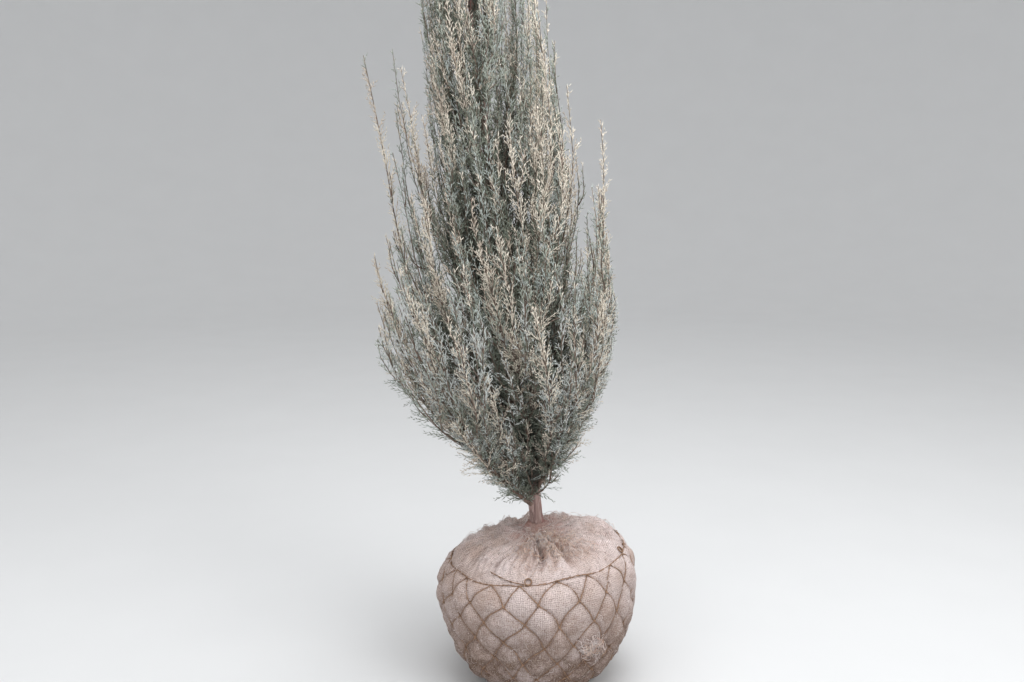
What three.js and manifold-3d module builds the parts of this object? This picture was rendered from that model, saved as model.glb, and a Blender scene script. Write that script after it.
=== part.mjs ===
// A columnar juniper sapling on its burlapped and netted root ball.
// Millimetres, +Z up. The origin is the centre of the ball's flat underside.
import * as THREE from 'three';
import { mergeVertices } from 'three/addons/utils/BufferGeometryUtils.js';
import Module from 'manifold-3d';

const wasm = await Module();
wasm.setup();

// Driving dimensions of the root ball
const gap = 0.35;                 // clearance between neighbouring solids
const undersideRadius = 100;      // flat disc that the ball stands on
const ballProfile = [             // radius, height, from the underside's edge to the trunk
  [undersideRadius, 0], [150, 16], [200, 70], [234, 145], [249, 222], [244, 290],
  [214, 335], [160, 362], [95, 376], [45, 386], [30, 398],
];
const ballTilt = 0.1;             // the ball's top rises this much to the right
const ballTiltFrom = 150;         // height where that rise starts
const ballTiltTo = 330;           // height where it is whole
const quiltOut = 3;               // cloth bulges this far between the strands
const quiltIn = 4;                // and sinks this far under them
const pleatDepth = 4;             // gathered folds above the net's rim
const foldArcs = [448, 492, 532, 565];  // where the folds are measured up the profile

// Driving dimensions of the net
const diamonds = 18;              // meshes of the net round the ball
const netRimArc = 402;            // its rim, measured up the ball's profile
const netRow = 52;                // half a mesh, measured along the profile
const netRows = 7;
const strandWidth = 4;            // from a knot's centre to the corner of a mesh
const strandHeight = 3;
const strandLift = 1.2;           // strand's back above the grooved cloth
const knotWidth = 1.2;            // knots are this much wider than strands
const loopRadius = 8;             // twisted ring loops on the rim
const loopWire = 1.7;
const loopLift = 1;
const loopAzimuths = [-97, -11];  // degrees

// Driving dimensions of the trunk
const trunkFoot = 380;
const trunkEnd = 1990;            // the leader's foliage carries on from here
const trunkRadiusFoot = 16.5;
const trunkTaper = 0.8;           // share of the radius lost by the trunk's end
const trunkTaperPower = 1.4;
const flare = 4;
const flareHeight = 20;
const clearOfFlare = 60;          // above a foot, where the trunk's radius is free of the flare
const lean = -0.13;               // sideways per unit of height
const leanStart = 25;             // height in which the lean sets in
const sway = 4;                   // slow bends to either side
const swayLength = { x: 180, y: 260 };
const swayFrom = 200;             // height in which they set in
const foliageClear = 3;           // foliage keeps this far off the bark

// The crown's outline: where a bough leaves the trunk decides how far out and how high
// its tips reach, and how much further they reach to the right than to the left.
const crown = [
  { foot: 430, reach: 300, top: 880, right: -0.12 },
  { foot: 540, reach: 272, top: 1090, right: -0.04 },
  { foot: 620, reach: 230, top: 1240, right: 0.14 },
  { foot: 720, reach: 162, top: 1400, right: 0.16 },
  { foot: 900, reach: 134, top: 1640, right: 0.13 },
  { foot: 1200, reach: 116, top: 1900, right: 0.1 },
  { foot: 1500, reach: 92, top: 2140, right: 0.05 },
  { foot: 1800, reach: 60, top: 2330, right: 0 },
  { foot: 2080, reach: 28, top: 2450, right: 0 },
];

// Boughs leave the trunk in tiers. Each bough's foliage keeps to its own cell of the crown:
// the growth that starts between two foot heights, in its share of the full turn.
const tiers = [
  { from: 400, to: 525, foot: 464, count: 5, turn: 18, shoots: 5 },
  { from: 525, to: 630, foot: 578, count: 5, turn: 54, shoots: 5 },
  { from: 630, to: 780, foot: 700, count: 4, turn: 20, shoots: 6 },
  { from: 780, to: 1000, foot: 880, count: 4, turn: 70, shoots: 5 },
  { from: 1000, to: 1280, foot: 1120, count: 3, turn: 28, shoots: 5 },
  { from: 1280, to: 1600, foot: 1420, count: 3, turn: 80, shoots: 5 },
  { from: 1600, to: 1930, foot: 1750, count: 2, turn: 10, shoots: 5 },
];

// Long shoots that stand out of the crown: azimuth in degrees, foot height, part of the way.
const strays = [
  { azimuth: 176, foot: 575, end: 1.68 },
  { azimuth: 188, foot: 645, end: 1.44 },
  { azimuth: 350, foot: 590, end: 1.36 },
];
const footStagger = 0.16;         // of the tier's height, from one bough to the next
const flareOut = 0.15;            // long shoots still lean out by this past the tip height
const boughEnd = 0.2;             // part of the way to the tip where the foliage starts
const boughThickness = 0.36;      // of the trunk's radius at the bough's foot
const boughTaper = 0.7;
const stemEnd = 0.5;              // where the mass's stem becomes its middle spray
const stemTipRadius = 2;

// Driving dimensions of the foliage. A shoot's place in its mass is a share of the cell's
// half width to either side, and a share of its depth from the outside in.
const shootFan = [0, -0.62, 0.62, -0.3, 0.3, 0.8];
const shootDepth = [0.5, 0.35, 0.7, 0.85, 0.15, 0.4];
const fanJitter = 0.14;
const depthJitter = 0.16;
const shootStep = 0.06;           // from one shoot's start on the stem to the next
const shootSink = 0.03;           // shoots start this much inside the stem
const shootEnd = 0.86;            // where the shortest shoot ends, as part of the way up
const shootEndRange = 0.2;
const strayStart = 0.4;           // long stray shoots leave the stem here
const straySeed = 700;
const leaderWhips = 6;
const leaderStart = 12;           // its first spray, above the trunk's end
const leaderStep = 34;
const leaderTurn = 2.4;           // radians from one spray to the next
const leaderRoll = 0.9;
const leaderEnd = 0.8;
const leaderTip = 60;             // its stem stops this far under the crown's top
const leaderSeed = 900;
const bladeThickness = 4.2;
const bladeCore = 4;              // half width of a spray between its teeth
const toothReach = 30;            // how far a side shoot stands out
const toothLeast = 8;             // near the narrow top it is this, and a share of the reach
const toothShare = 0.25;
const toothPitch = 134;           // distance between side shoots
const toothFirst = 0.35;          // the first side shoot, in pitches from the start
const toothLast = 0.4;            // where the core starts to narrow, past the last pitch
const toothSweep = 0.95;          // a side shoot rises this many pitches
const toothStagger = 0.3;         // side shoots are staggered by up to this many pitches
const toothRange = 0.6;           // longest less shortest, as part of the average
const toothClear = 16;            // from the tip of a side shoot to the next shoot
const rollRange = 130;            // sprays are turned about their shoots by up to half of this
const cellMargin = 5;             // between neighbouring masses of foliage

const colors = { burlap: 0xb89e84, net: 0x6b4630, bark: 0x8a6650, foliage: 0x7e8672 };

const degrees = Math.PI / 180;

function chance(seed) {
  const wave = Math.sin(seed * 12.9898) * 43758.5453;
  return wave - Math.floor(wave);
}

function smooth(from, to, value) {
  return THREE.MathUtils.smoothstep(value, from, to);
}

function turnBetween(from, to) {
  return Math.atan2(Math.sin(to - from), Math.cos(to - from));
}

// Crown values at one foot height, linear between the rows of the outline.
function crownAt(foot) {
  const last = crown.length - 2;
  let row = 0;
  while (row < last && foot > crown[row + 1].foot) {
    row += 1;
  }
  const low = crown[row];
  const high = crown[row + 1];
  const part = THREE.MathUtils.clamp((foot - low.foot) / (high.foot - low.foot), 0, 1);
  return {
    reach: THREE.MathUtils.lerp(low.reach, high.reach, part),
    top: THREE.MathUtils.lerp(low.top, high.top, part),
    right: THREE.MathUtils.lerp(low.right, high.right, part),
  };
}

function trunkAxis(z) {
  const rise = Math.max(z - trunkFoot, 0);
  const drift = rise - leanStart * (1 - Math.exp(-rise / leanStart));
  const bend = sway * smooth(0, swayFrom, rise);
  const x = lean * drift + bend * Math.sin(rise / swayLength.x);
  const y = bend * Math.sin(rise / swayLength.y);
  return new THREE.Vector3(x, y, z);
}

function trunkRadius(z) {
  const part = (z - trunkFoot) / (trunkEnd - trunkFoot);
  const taper = 1 - trunkTaper * Math.max(part, 0) ** trunkTaperPower;
  return trunkRadiusFoot * taper + flare * Math.exp(-(z - trunkFoot) / flareHeight);
}

// Share of the reach at part u of the way up: out first, then upright.
function spread(u) {
  return u < 1 ? 1 - (1 - Math.max(u, 0)) ** 2 : 1 + flareOut * (u - 1);
}

function reachAt(foot, azimuth) {
  const row = crownAt(foot);
  return row.reach * (1 + row.right * Math.cos(azimuth));
}

// A point of the crown: foot height on the trunk, azimuth, and part of the way to the tip.
function flow(foot, azimuth, u) {
  const z = foot + (crownAt(foot).top - foot) * u;
  const out = reachAt(foot, azimuth) * spread(u);
  const point = trunkAxis(z);
  point.x += out * Math.cos(azimuth);
  point.y += out * Math.sin(azimuth);
  return point;
}

// Distance from the trunk's axis of the sheet of growth that starts at one foot height.
function sheetRadius(foot, azimuth, z) {
  const u = (z - foot) / (crownAt(foot).top - foot);
  return u <= 0 ? 0 : reachAt(foot, azimuth) * spread(u);
}

function insideCell(cell, point) {
  const axis = trunkAxis(point.z);
  const out = Math.hypot(point.x - axis.x, point.y - axis.y);
  const azimuth = Math.atan2(point.y - axis.y, point.x - axis.x);
  const inner = Math.max(sheetRadius(cell.to, azimuth, point.z), trunkRadius(point.z) + foliageClear);
  const outer = cell.outermost ? Infinity : sheetRadius(cell.from, azimuth, point.z);
  if (out < inner + cellMargin || out > outer - cellMargin) {
    return false;
  }
  return (cell.halfWidth - Math.abs(turnBetween(cell.azimuth, azimuth))) * out > cellMargin;
}

// Places beside a path, from its start at 0 to its end at 1. X is a distance towards the
// sideways direction at the path's end, and Z one square to it. From there back, both only
// turn as the path does, so that they never swing over.
function besidePath(path, sideways) {
  const step = 0.001;
  const alongAt = (t) => path(t + step).sub(path(t - step)).normalize();
  const end = alongAt(1);
  const acrossEnd = sideways.clone().addScaledVector(end, -sideways.dot(end)).normalize();
  return (x, t, z) => {
    const along = alongAt(t);
    const turn = new THREE.Quaternion().setFromUnitVectors(end, along);
    const across = acrossEnd.clone().applyQuaternion(turn);
    const normal = new THREE.Vector3().crossVectors(across, along);
    return path(t).addScaledVector(across, x).addScaledVector(normal, z);
  };
}

// Bends a geometry whose length runs along Y, from 0 to 1, onto a path.
function bendAlong(geometry, path, sideways) {
  const place = besidePath(path, sideways);
  const position = geometry.attributes.position;
  for (let i = 0; i < position.count; i += 1) {
    const point = place(position.getX(i), position.getY(i), position.getZ(i));
    position.setXYZ(i, point.x, point.y, point.z);
  }
  return geometry;
}

// A tapering limb along a path, with flat ends.
function limb(path, radiusAt, sides, steps, sideways) {
  const geometry = new THREE.CylinderGeometry(1, 1, 1, sides, steps);
  geometry.translate(0, 0.5, 0);
  const position = geometry.attributes.position;
  for (let i = 0; i < position.count; i += 1) {
    const radius = radiusAt(position.getY(i));
    position.setX(i, position.getX(i) * radius);
    position.setZ(i, position.getZ(i) * radius);
  }
  return bendAlong(geometry, path, sideways);
}

// The closed body of a geometry, ready to be joined or cut.
function solid(geometry) {
  const bare = new THREE.BufferGeometry();
  bare.setAttribute('position', geometry.attributes.position);
  bare.setIndex(geometry.index);
  const merged = mergeVertices(bare, 1e-4);
  const source = merged.index.array;
  const triVerts = [];
  for (let i = 0; i < source.length; i += 3) {
    const [a, b, c] = [source[i], source[i + 1], source[i + 2]];
    if (a !== b && b !== c && c !== a) {
      triVerts.push(a, b, c);
    }
  }
  const mesh = new wasm.Mesh({
    numProp: 3,
    vertProperties: new Float32Array(merged.attributes.position.array),
    triVerts: new Uint32Array(triVerts),
  });
  return new wasm.Manifold(mesh);
}

// One body: a hollow that joining seals is filled, and a loose scrap is dropped.
function joined(solids) {
  const whole = solids.reduce((sum, piece) => sum.add(piece));
  return whole.decompose().reduce((best, shell) => (shell.volume() > best.volume() ? shell : best));
}

function geometryOf(body) {
  const mesh = body.getMesh();
  const geometry = new THREE.BufferGeometry();
  geometry.setAttribute('position', new THREE.BufferAttribute(mesh.vertProperties, 3));
  geometry.setIndex(new THREE.BufferAttribute(mesh.triVerts, 1));
  geometry.computeVertexNormals();
  return geometry;
}

const materials = {
  burlap: new THREE.MeshStandardMaterial({ color: colors.burlap, roughness: 0.95 }),
  net: new THREE.MeshStandardMaterial({ color: colors.net, roughness: 0.8 }),
  bark: new THREE.MeshStandardMaterial({ color: colors.bark, roughness: 0.9 }),
  foliage: new THREE.MeshStandardMaterial({ color: colors.foliage, roughness: 0.85 }),
};

function node(name, body, material) {
  const mesh = new THREE.Mesh(geometryOf(body), material);
  mesh.name = name;
  return mesh;
}

// The ball's profile as a smooth curve, and points of it by their distance along it.
const profileCurve = new THREE.SplineCurve(ballProfile.map(([r, z]) => new THREE.Vector2(r, z)));
profileCurve.arcLengthDivisions = 400;
const profileLength = profileCurve.getLength();

function ballPoint(arc, azimuth, out) {
  const part = THREE.MathUtils.clamp(arc / profileLength, 0, 1);
  const place = profileCurve.getPointAt(part);
  const along = profileCurve.getTangentAt(part);
  const radius = place.x + out * along.y;
  const point = new THREE.Vector3(radius * Math.cos(azimuth), radius * Math.sin(azimuth), 0);
  const height = place.y - out * along.x;
  point.z = height + ballTilt * point.x * smooth(ballTiltFrom, ballTiltTo, height);
  return point;
}

// Cloth relief: bulges inside each mesh of the net, sunk under its strands,
// and folds gathered to the trunk above its rim.
function clothRelief(row, column) {
  const underStrand = (row + column) % 2 === 0;
  if (row > netRows) {
    return 0;
  }
  if (row === 0 || row === netRows) {
    return -quiltIn;
  }
  if (row > 0) {
    return underStrand ? -quiltIn : quiltOut;
  }
  return underStrand ? pleatDepth / 2 : -pleatDepth / 2;
}

const columns = 2 * diamonds;
const columnTurn = 2 * Math.PI / columns;
const rowArc = (row) => netRimArc - row * netRow;

function rootBall() {
  const rings = [{ arc: 0, row: netRows + 1 }];
  for (let row = netRows; row >= 0; row -= 1) {
    rings.push({ arc: rowArc(row), row });
  }
  foldArcs.forEach((arc, i) => rings.push({ arc, row: -1 - i }));
  rings.push({ arc: profileLength, row: netRows + 1 });

  // The profile of the lathe only sets its grid; each vertex then takes its own place.
  const grid = rings.map((ring) => new THREE.Vector2(1, ring.arc));
  const closed = [new THREE.Vector2(0, -1), ...grid, new THREE.Vector2(0, 1)];
  const lathe = new THREE.LatheGeometry(closed, columns);
  const position = lathe.attributes.position;
  const perColumn = rings.length + 2;
  for (let column = 0; column <= columns; column += 1) {
    const azimuth = (column % columns) * columnTurn;
    for (let k = 0; k < perColumn; k += 1) {
      const ring = rings[THREE.MathUtils.clamp(k - 1, 0, rings.length - 1)];
      const point = ballPoint(ring.arc, azimuth, clothRelief(ring.row, column));
      if (k === 0 || k === perColumn - 1) {
        point.x = 0;
        point.y = 0;
        point.z = k === 0 ? 0 : ballProfile.at(-1)[1];
      }
      position.setXYZ(column * perColumn + k, point.x, point.y, point.z);
    }
  }
  lathe.setIndex(ballFaces(rings, perColumn));
  return solid(lathe);
}

// Two triangles for each quad of the grid, split along the strand that crosses it.
function ballFaces(rings, perColumn) {
  const faces = [];
  for (let column = 0; column < columns; column += 1) {
    for (let k = 0; k < perColumn - 1; k += 1) {
      const low = column * perColumn + k;
      const right = low + perColumn;
      const ring = rings[Math.max(k - 1, 0)];
      if ((ring.row + column) % 2 === 0) {
        faces.push(low, right, right + 1, low, right + 1, low + 1);
      } else {
        faces.push(low, right, low + 1, right, right + 1, low + 1);
      }
    }
  }
  return faces;
}

// One point of the net, on the grooved cloth: a ridge above it, or an edge beside it.
function netPoint(row, column, isRidge) {
  const out = (isRidge ? strandHeight : 0) + strandLift - quiltIn;
  return ballPoint(rowArc(row), column * columnTurn, out);
}

// The net as one three-sided mesh of bars. Every knot has a ridge point and four edge
// points, one in each mesh corner; the rims also have such points halfway between knots.
function netBody() {
  const places = [];
  const indexOf = new Map();
  const add = (key, point) => {
    indexOf.set(key, places.length);
    places.push(point);
  };
  const at = (row, column, corner) => indexOf.get(`${row} ${(column + columns) % columns} ${corner}`);
  const wide = strandWidth / netRow;
  for (let row = 0; row <= netRows; row += 1) {
    const tuck = row === 0 ? wide : 0;
    const lift = row === netRows ? wide : 0;
    for (let column = 0; column < columns; column += 1) {
      const isKnot = (row + column) % 2 === 0;
      if (isKnot || row === 0 || row === netRows) {
        add(`${row} ${column} ridge`, netPoint(row, column, true));
        add(`${row} ${column} up`, netPoint(row - wide, column, false));
        add(`${row} ${column} down`, netPoint(row + wide, column, false));
      }
      if (isKnot) {
        add(`${row} ${column} left`, netPoint(row + tuck - lift, column - wide * knotWidth, false));
        add(`${row} ${column} right`, netPoint(row + tuck - lift, column + wide * knotWidth, false));
      }
    }
  }
  const faces = [];
  // A bar from a to b: two sloping faces that meet on its ridge, and its flat back.
  const bar = (a, b, aUpper, bUpper, aLower, bLower) => {
    faces.push(a, bUpper, aUpper, a, b, bUpper, a, aLower, bLower, a, bLower, b);
    faces.push(aUpper, bUpper, bLower, aUpper, bLower, aLower);
  };
  const cornersOf = (row, column, side) => {
    const isKnot = (row + column) % 2 === 0;
    const corner = isKnot ? side : (row === 0 ? 'down' : 'up');
    return at(row, column, corner);
  };
  for (let row = 0; row <= netRows; row += 1) {
    for (let column = row % 2; column < columns; column += 2) {
      const ridge = at(row, column, 'ridge');
      const [up, right] = [at(row, column, 'up'), at(row, column, 'right')];
      const [down, left] = [at(row, column, 'down'), at(row, column, 'left')];
      faces.push(up, right, down, up, down, left);
      if (row < netRows) {
        const [r, l] = [column + 1, column - 1];
        const below = row + 1;
        bar(ridge, at(below, r, 'ridge'), right, at(below, r, 'up'), down, at(below, r, 'left'));
        bar(at(below, l, 'ridge'), ridge, at(below, l, 'up'), left, at(below, l, 'right'), down);
      }
    }
  }
  for (const row of [0, netRows]) {
    for (let column = 0; column < columns; column += 1) {
      const next = column + 1;
      const [a, b] = [at(row, column, 'ridge'), at(row, next, 'ridge')];
      const [inA, inB] = [cornersOf(row, column, 'right'), cornersOf(row, next, 'left')];
      const edge = row === 0 ? 'up' : 'down';
      const [outA, outB] = [at(row, column, edge), at(row, next, edge)];
      if (row === 0) {
        bar(a, b, outA, outB, inA, inB);
      } else {
        bar(a, b, inA, inB, outA, outB);
      }
    }
  }
  const geometry = new THREE.BufferGeometry();
  const numbers = places.flatMap((place) => place.toArray());
  geometry.setAttribute('position', new THREE.Float32BufferAttribute(numbers, 3));
  geometry.setIndex(faces);
  return solid(geometry);
}

function netLoop(azimuthDegrees) {
  const azimuth = azimuthDegrees * degrees;
  const loop = new THREE.TorusGeometry(loopRadius, loopWire, 4, 10);
  const centre = ballPoint(netRimArc + loopRadius, azimuth, loopLift);
  const outside = ballPoint(netRimArc + loopRadius, azimuth, 10 * loopRadius);
  const frame = new THREE.Object3D();
  frame.position.copy(centre);
  frame.lookAt(outside);
  frame.updateMatrix();
  return solid(loop.applyMatrix4(frame.matrix));
}

function net() {
  return joined([netBody(), ...loopAzimuths.map(netLoop)]);
}

const trunkPath = (from, to) => (t) => trunkAxis(from + (to - from) * t);

// The trunk, grown by a clearance where it is used to cut what meets it.
function trunkSolid(grow) {
  const from = trunkFoot - grow;
  const to = trunkEnd + grow;
  const radiusAt = (t) => trunkRadius(from + (to - from) * t) + grow;
  return solid(limb(trunkPath(from, to), radiusAt, 8, 14, new THREE.Vector3(1, 0, 0)));
}

function sidewaysAt(azimuth) {
  return new THREE.Vector3(-Math.sin(azimuth), Math.cos(azimuth), 0);
}

const boughRadius = (foot) => boughThickness * trunkRadius(foot + clearOfFlare);

function bough(growth, cutter) {
  const path = (t) => flow(growth.foot, growth.azimuth, t * boughEnd);
  const radius = boughRadius(growth.foot);
  const radiusAt = (t) => radius * (1 - (1 - boughTaper) * t);
  return solid(limb(path, radiusAt, 5, 3, sidewaysAt(growth.azimuth))).subtract(cutter);
}

// A shoot's path, from its start on the stem to its own tip.
function whipPath(growth, whip) {
  return (t) => {
    const turn = 1 - (1 - t) ** 3;
    const foot = THREE.MathUtils.lerp(growth.foot, whip.foot, turn);
    const azimuth = THREE.MathUtils.lerp(growth.azimuth, whip.azimuth, turn);
    return flow(foot, azimuth, THREE.MathUtils.lerp(whip.start, whip.end, t));
  };
}

function pathLength(path) {
  let length = 0;
  for (let i = 0; i < 8; i += 1) {
    length += path(i / 8).distanceTo(path((i + 1) / 8));
  }
  return length;
}

function distanceTo(path, point) {
  let nearest = Infinity;
  for (let i = 0; i <= 16; i += 1) {
    nearest = Math.min(nearest, path(i / 16).distanceTo(point));
  }
  return nearest;
}

// A flat blade along Y: a core that turns at its stations, and beyond each of them, on
// either side, the tip of a side shoot if there is one.
function bladeGeometry(stations, length, tips) {
  const points = [];
  const faces = [];
  // Each corner has a front point and, next after it, a back point.
  const corner = (x, y) => {
    points.push(x, y / length, bladeThickness / 2, x, y / length, -bladeThickness / 2);
    return points.length / 3 - 2;
  };
  const face = (a, b, c) => faces.push(a, b, c, a + 1, c + 1, b + 1);
  const wall = (a, b) => faces.push(a + 1, b + 1, b, a + 1, b, a);
  const side = (a, b, tip) => {
    if (!tip) {
      wall(a, b);
      return;
    }
    const peak = corner(tip.x, tip.y);
    face(a, peak, b);
    wall(a, peak);
    wall(peak, b);
  };
  const pairs = stations.map((y) => [corner(-bladeCore, y), corner(bladeCore, y)]);
  wall(...pairs[0]);
  for (let k = 0; k < pairs.length - 1; k += 1) {
    const [left, right] = pairs[k];
    const [nextLeft, nextRight] = pairs[k + 1];
    face(left, right, nextRight);
    face(left, nextRight, nextLeft);
    side(right, nextRight, tips[k].right);
    side(nextLeft, left, tips[k].left);
  }
  const [lastLeft, lastRight] = pairs.at(-1);
  const end = corner(0, length);
  face(lastLeft, lastRight, end);
  wall(lastRight, end);
  wall(end, lastLeft);
  const geometry = new THREE.BufferGeometry();
  geometry.setAttribute('position', new THREE.Float32BufferAttribute(points, 3));
  geometry.setIndex(faces);
  return geometry;
}

// How far a tooth's tip stands off the line between the core's corners below and above it.
function standsOff(place, side, low, high, tip) {
  const foot = place(side * bladeCore, low, 0);
  const line = place(side * bladeCore, high, 0).sub(foot).normalize();
  const outward = place(side * toothReach, low, 0).sub(foot).normalize();
  const out = tip.clone().sub(foot);
  return out.addScaledVector(line, -out.dot(line)).dot(outward);
}

// A spray: a flat blade along its shoot, with side shoots as teeth that point up. A tooth
// that would leave the cell, touch a neighbouring shoot or fold over its core is skipped.
function spray(growth, whip, cell, neighbours) {
  const path = whipPath(growth, whip);
  const length = pathLength(path);
  const sideways = sidewaysAt(growth.azimuth).applyAxisAngle(new THREE.Vector3(0, 0, 1), whip.roll);
  const place = besidePath(path, sideways);
  const teeth = Math.max(2, Math.round(length / toothPitch) - 1);
  const pitch = length / (teeth + 1);
  const standOut = Math.min(toothReach, toothLeast + toothShare * crownAt(whip.foot).reach);
  const baseAt = (i) => (i + toothFirst + toothStagger * chance(whip.seed + 7 * i)) * pitch;
  const stations = [0];
  for (let i = 0; i < teeth; i += 1) {
    stations.push(baseAt(i));
  }
  stations.push((teeth + toothLast) * pitch);
  const tooth = (i, side) => {
    const sweep = toothSweep + toothStagger * (chance(whip.seed + 7 * i + side) - 0.5);
    const reach = standOut * (1 + toothRange * (chance(whip.seed + 11 * i + 3 * side) - 0.5));
    const tip = { x: side * reach, y: Math.min(baseAt(i) + pitch * sweep, length * 0.98) };
    const point = place(tip.x, tip.y / length, 0);
    const [low, high] = [stations[i + 1] / length, stations[i + 2] / length];
    const isClear = insideCell(cell, point)
      && neighbours.every((other) => distanceTo(other, point) > toothClear)
      && standsOff(place, side, low, high, point) > toothLeast;
    return isClear ? tip : null;
  };
  const tips = stations.map((y, k) => (k > 0 && k <= teeth
    ? { left: tooth(k - 1, -1), right: tooth(k - 1, 1) }
    : { left: null, right: null }));
  return solid(bendAlong(bladeGeometry(stations, length, tips), path, sideways));
}

// The shoots of one mass: the first ends the stem, the others leave it and fan out.
function shootsOf(growth, cell) {
  const list = [];
  for (let i = 0; i < growth.shoots; i += 1) {
    const seed = growth.seed * 43 + i * 5;
    const fan = shootFan[i] + fanJitter * (chance(seed + 2) - 0.5);
    const depth = shootDepth[i] + depthJitter * (chance(seed + 3) - 0.5);
    list.push({
      seed,
      start: i === 0 ? stemEnd - shootSink : boughEnd - shootSink + shootStep * i,
      end: shootEnd + shootEndRange * chance(seed + 1),
      azimuth: growth.azimuth + cell.halfWidth * fan,
      foot: THREE.MathUtils.lerp(cell.from, cell.to, depth),
      roll: (chance(seed + 4) - 0.5) * rollRange * degrees,
    });
  }
  strays.forEach((stray, i) => {
    const turn = turnBetween(growth.azimuth, stray.azimuth * degrees);
    if (Math.abs(turn) < cell.halfWidth && stray.foot > cell.from && stray.foot < cell.to) {
      list.push({
        seed: straySeed + i * 9,
        start: strayStart,
        end: stray.end,
        azimuth: growth.azimuth + turn,
        foot: stray.foot,
        roll: 0,
      });
    }
  });
  return list;
}

function sprays(growth, list, cell) {
  const paths = list.map((whip) => whipPath(growth, whip));
  return list.map((whip, i) => spray(growth, whip, cell, paths.filter((path, k) => k !== i)));
}

// A mass of foliage: a stem that carries on from its bough, with sprays fused to it.
function foliage(growth, cell) {
  const stem = (t) => flow(growth.foot, growth.azimuth, t);
  const speed = stem(boughEnd + 0.001).distanceTo(stem(boughEnd)) / 0.001;
  const from = boughEnd + gap / speed;
  const radius = boughRadius(growth.foot) * boughTaper;
  const radiusAt = (t) => THREE.MathUtils.lerp(radius, stemTipRadius, t);
  const path = (t) => stem(THREE.MathUtils.lerp(from, stemEnd, t));
  const pieces = [solid(limb(path, radiusAt, 3, 2, sidewaysAt(growth.azimuth)))];
  pieces.push(...sprays(growth, shootsOf(growth, cell), cell));
  return joined(pieces);
}

// Every bough of every tier, each with the cell of the crown that is its own.
function growths() {
  const list = [];
  for (const tier of tiers) {
    for (let i = 0; i < tier.count; i += 1) {
      const seed = list.length + 1;
      const halfWidth = Math.PI / tier.count;
      const azimuth = tier.turn * degrees + 2 * halfWidth * i;
      const stagger = (i % 2 === 0 ? 0.5 : -0.5) + (chance(seed) - 0.5) * 0.6;
      const foot = tier.foot + stagger * footStagger * 2 * (tier.to - tier.foot);
      const outermost = tier === tiers[0];
      const cell = { from: tier.from, to: tier.to, azimuth, halfWidth, outermost };
      list.push({ seed, foot, azimuth, cell, shoots: tier.shoots });
    }
  }
  return list;
}

// The leader: the trunk's own tip, with sprays close round it.
function leader() {
  const from = trunkEnd + gap;
  const top = crown.at(-1).top;
  const radius = trunkRadius(trunkEnd);
  const radiusAt = (t) => THREE.MathUtils.lerp(radius, stemTipRadius, t);
  const path = trunkPath(from, top - leaderTip);
  const pieces = [solid(limb(path, radiusAt, 3, 4, new THREE.Vector3(1, 0, 0)))];
  const cell = { from: tiers.at(-1).to, to: top, azimuth: 0, halfWidth: Math.PI };
  for (let i = 0; i < leaderWhips; i += 1) {
    const seed = leaderSeed + i * 5;
    const azimuth = i * leaderTurn;
    const foot = from + leaderStart + i * leaderStep;
    const end = leaderEnd + (1 - leaderEnd) * chance(seed);
    const whip = { seed, start: 0, end, azimuth, foot, roll: i * leaderRoll };
    pieces.push(spray({ foot, azimuth }, whip, cell, []));
  }
  return joined(pieces);
}

const sapling = new THREE.Group();
const trunk = trunkSolid(0);
const trunkCutter = trunkSolid(gap);
sapling.add(node('root_ball', rootBall().subtract(trunkCutter), materials.burlap));
sapling.add(node('net', net(), materials.net));
sapling.add(node('trunk', trunk, materials.bark));
growths().forEach((growth, i) => {
  const number = String(i + 1).padStart(2, '0');
  sapling.add(node(`bough_${number}`, bough(growth, trunkCutter), materials.bark));
  sapling.add(node(`foliage_${number}`, foliage(growth, growth.cell), materials.foliage));
});
sapling.add(node('foliage_leader', leader(), materials.foliage));

export default sapling;
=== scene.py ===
import bpy
import numpy as np
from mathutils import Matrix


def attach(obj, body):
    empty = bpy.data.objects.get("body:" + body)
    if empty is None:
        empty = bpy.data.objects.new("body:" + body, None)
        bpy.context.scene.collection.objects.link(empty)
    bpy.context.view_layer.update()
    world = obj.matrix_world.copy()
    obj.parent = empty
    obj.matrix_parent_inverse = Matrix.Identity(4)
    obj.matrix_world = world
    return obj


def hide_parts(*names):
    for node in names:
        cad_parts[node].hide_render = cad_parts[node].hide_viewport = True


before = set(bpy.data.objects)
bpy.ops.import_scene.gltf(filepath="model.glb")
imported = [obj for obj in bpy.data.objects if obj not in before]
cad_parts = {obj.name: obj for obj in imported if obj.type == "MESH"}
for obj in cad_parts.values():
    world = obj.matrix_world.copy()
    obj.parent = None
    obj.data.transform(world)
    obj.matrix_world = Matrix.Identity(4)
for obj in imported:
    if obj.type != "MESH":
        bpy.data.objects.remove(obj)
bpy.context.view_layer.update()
print("frame loaded:", len(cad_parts), "nodes")


# Numbers and vectors

def chance(seed):
    # fraction that a large sine leaves: from 0 to 1, the same for the same seed
    wave = np.sin(np.asarray(seed, float) * 12.9898) * 43758.5453
    return wave - np.floor(wave)


def smooth(low, high, value):
    # 0 below low, 1 above high, and 3t^2 - 2t^3 between
    part = np.clip((value - low) / (high - low), 0, 1)
    return part * part * (3 - 2 * part)


def between(a, b, t):
    # part t of the way from a to b
    return a + (b - a) * t


def drawn(limits, seed, power=1):
    # a value between two limits; a higher power makes the lower ones commoner
    return between(*limits, chance(seed) ** power)


def swing(size, seed):
    # to either side of 0, by up to half of size
    return size * (chance(seed) - 0.5)


def unit(vectors):
    # each vector over its own length
    return vectors / np.maximum(np.linalg.norm(vectors, axis=-1, keepdims=True), 1e-12)


def onCircle(angle):
    # cosine and sine of each angle, at height 0
    return np.stack([np.cos(angle), np.sin(angle), np.zeros_like(angle)], axis=-1)


def fullTurn(count):
    # even angles all the way round
    return 2 * np.pi * np.arange(count) / count


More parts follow.
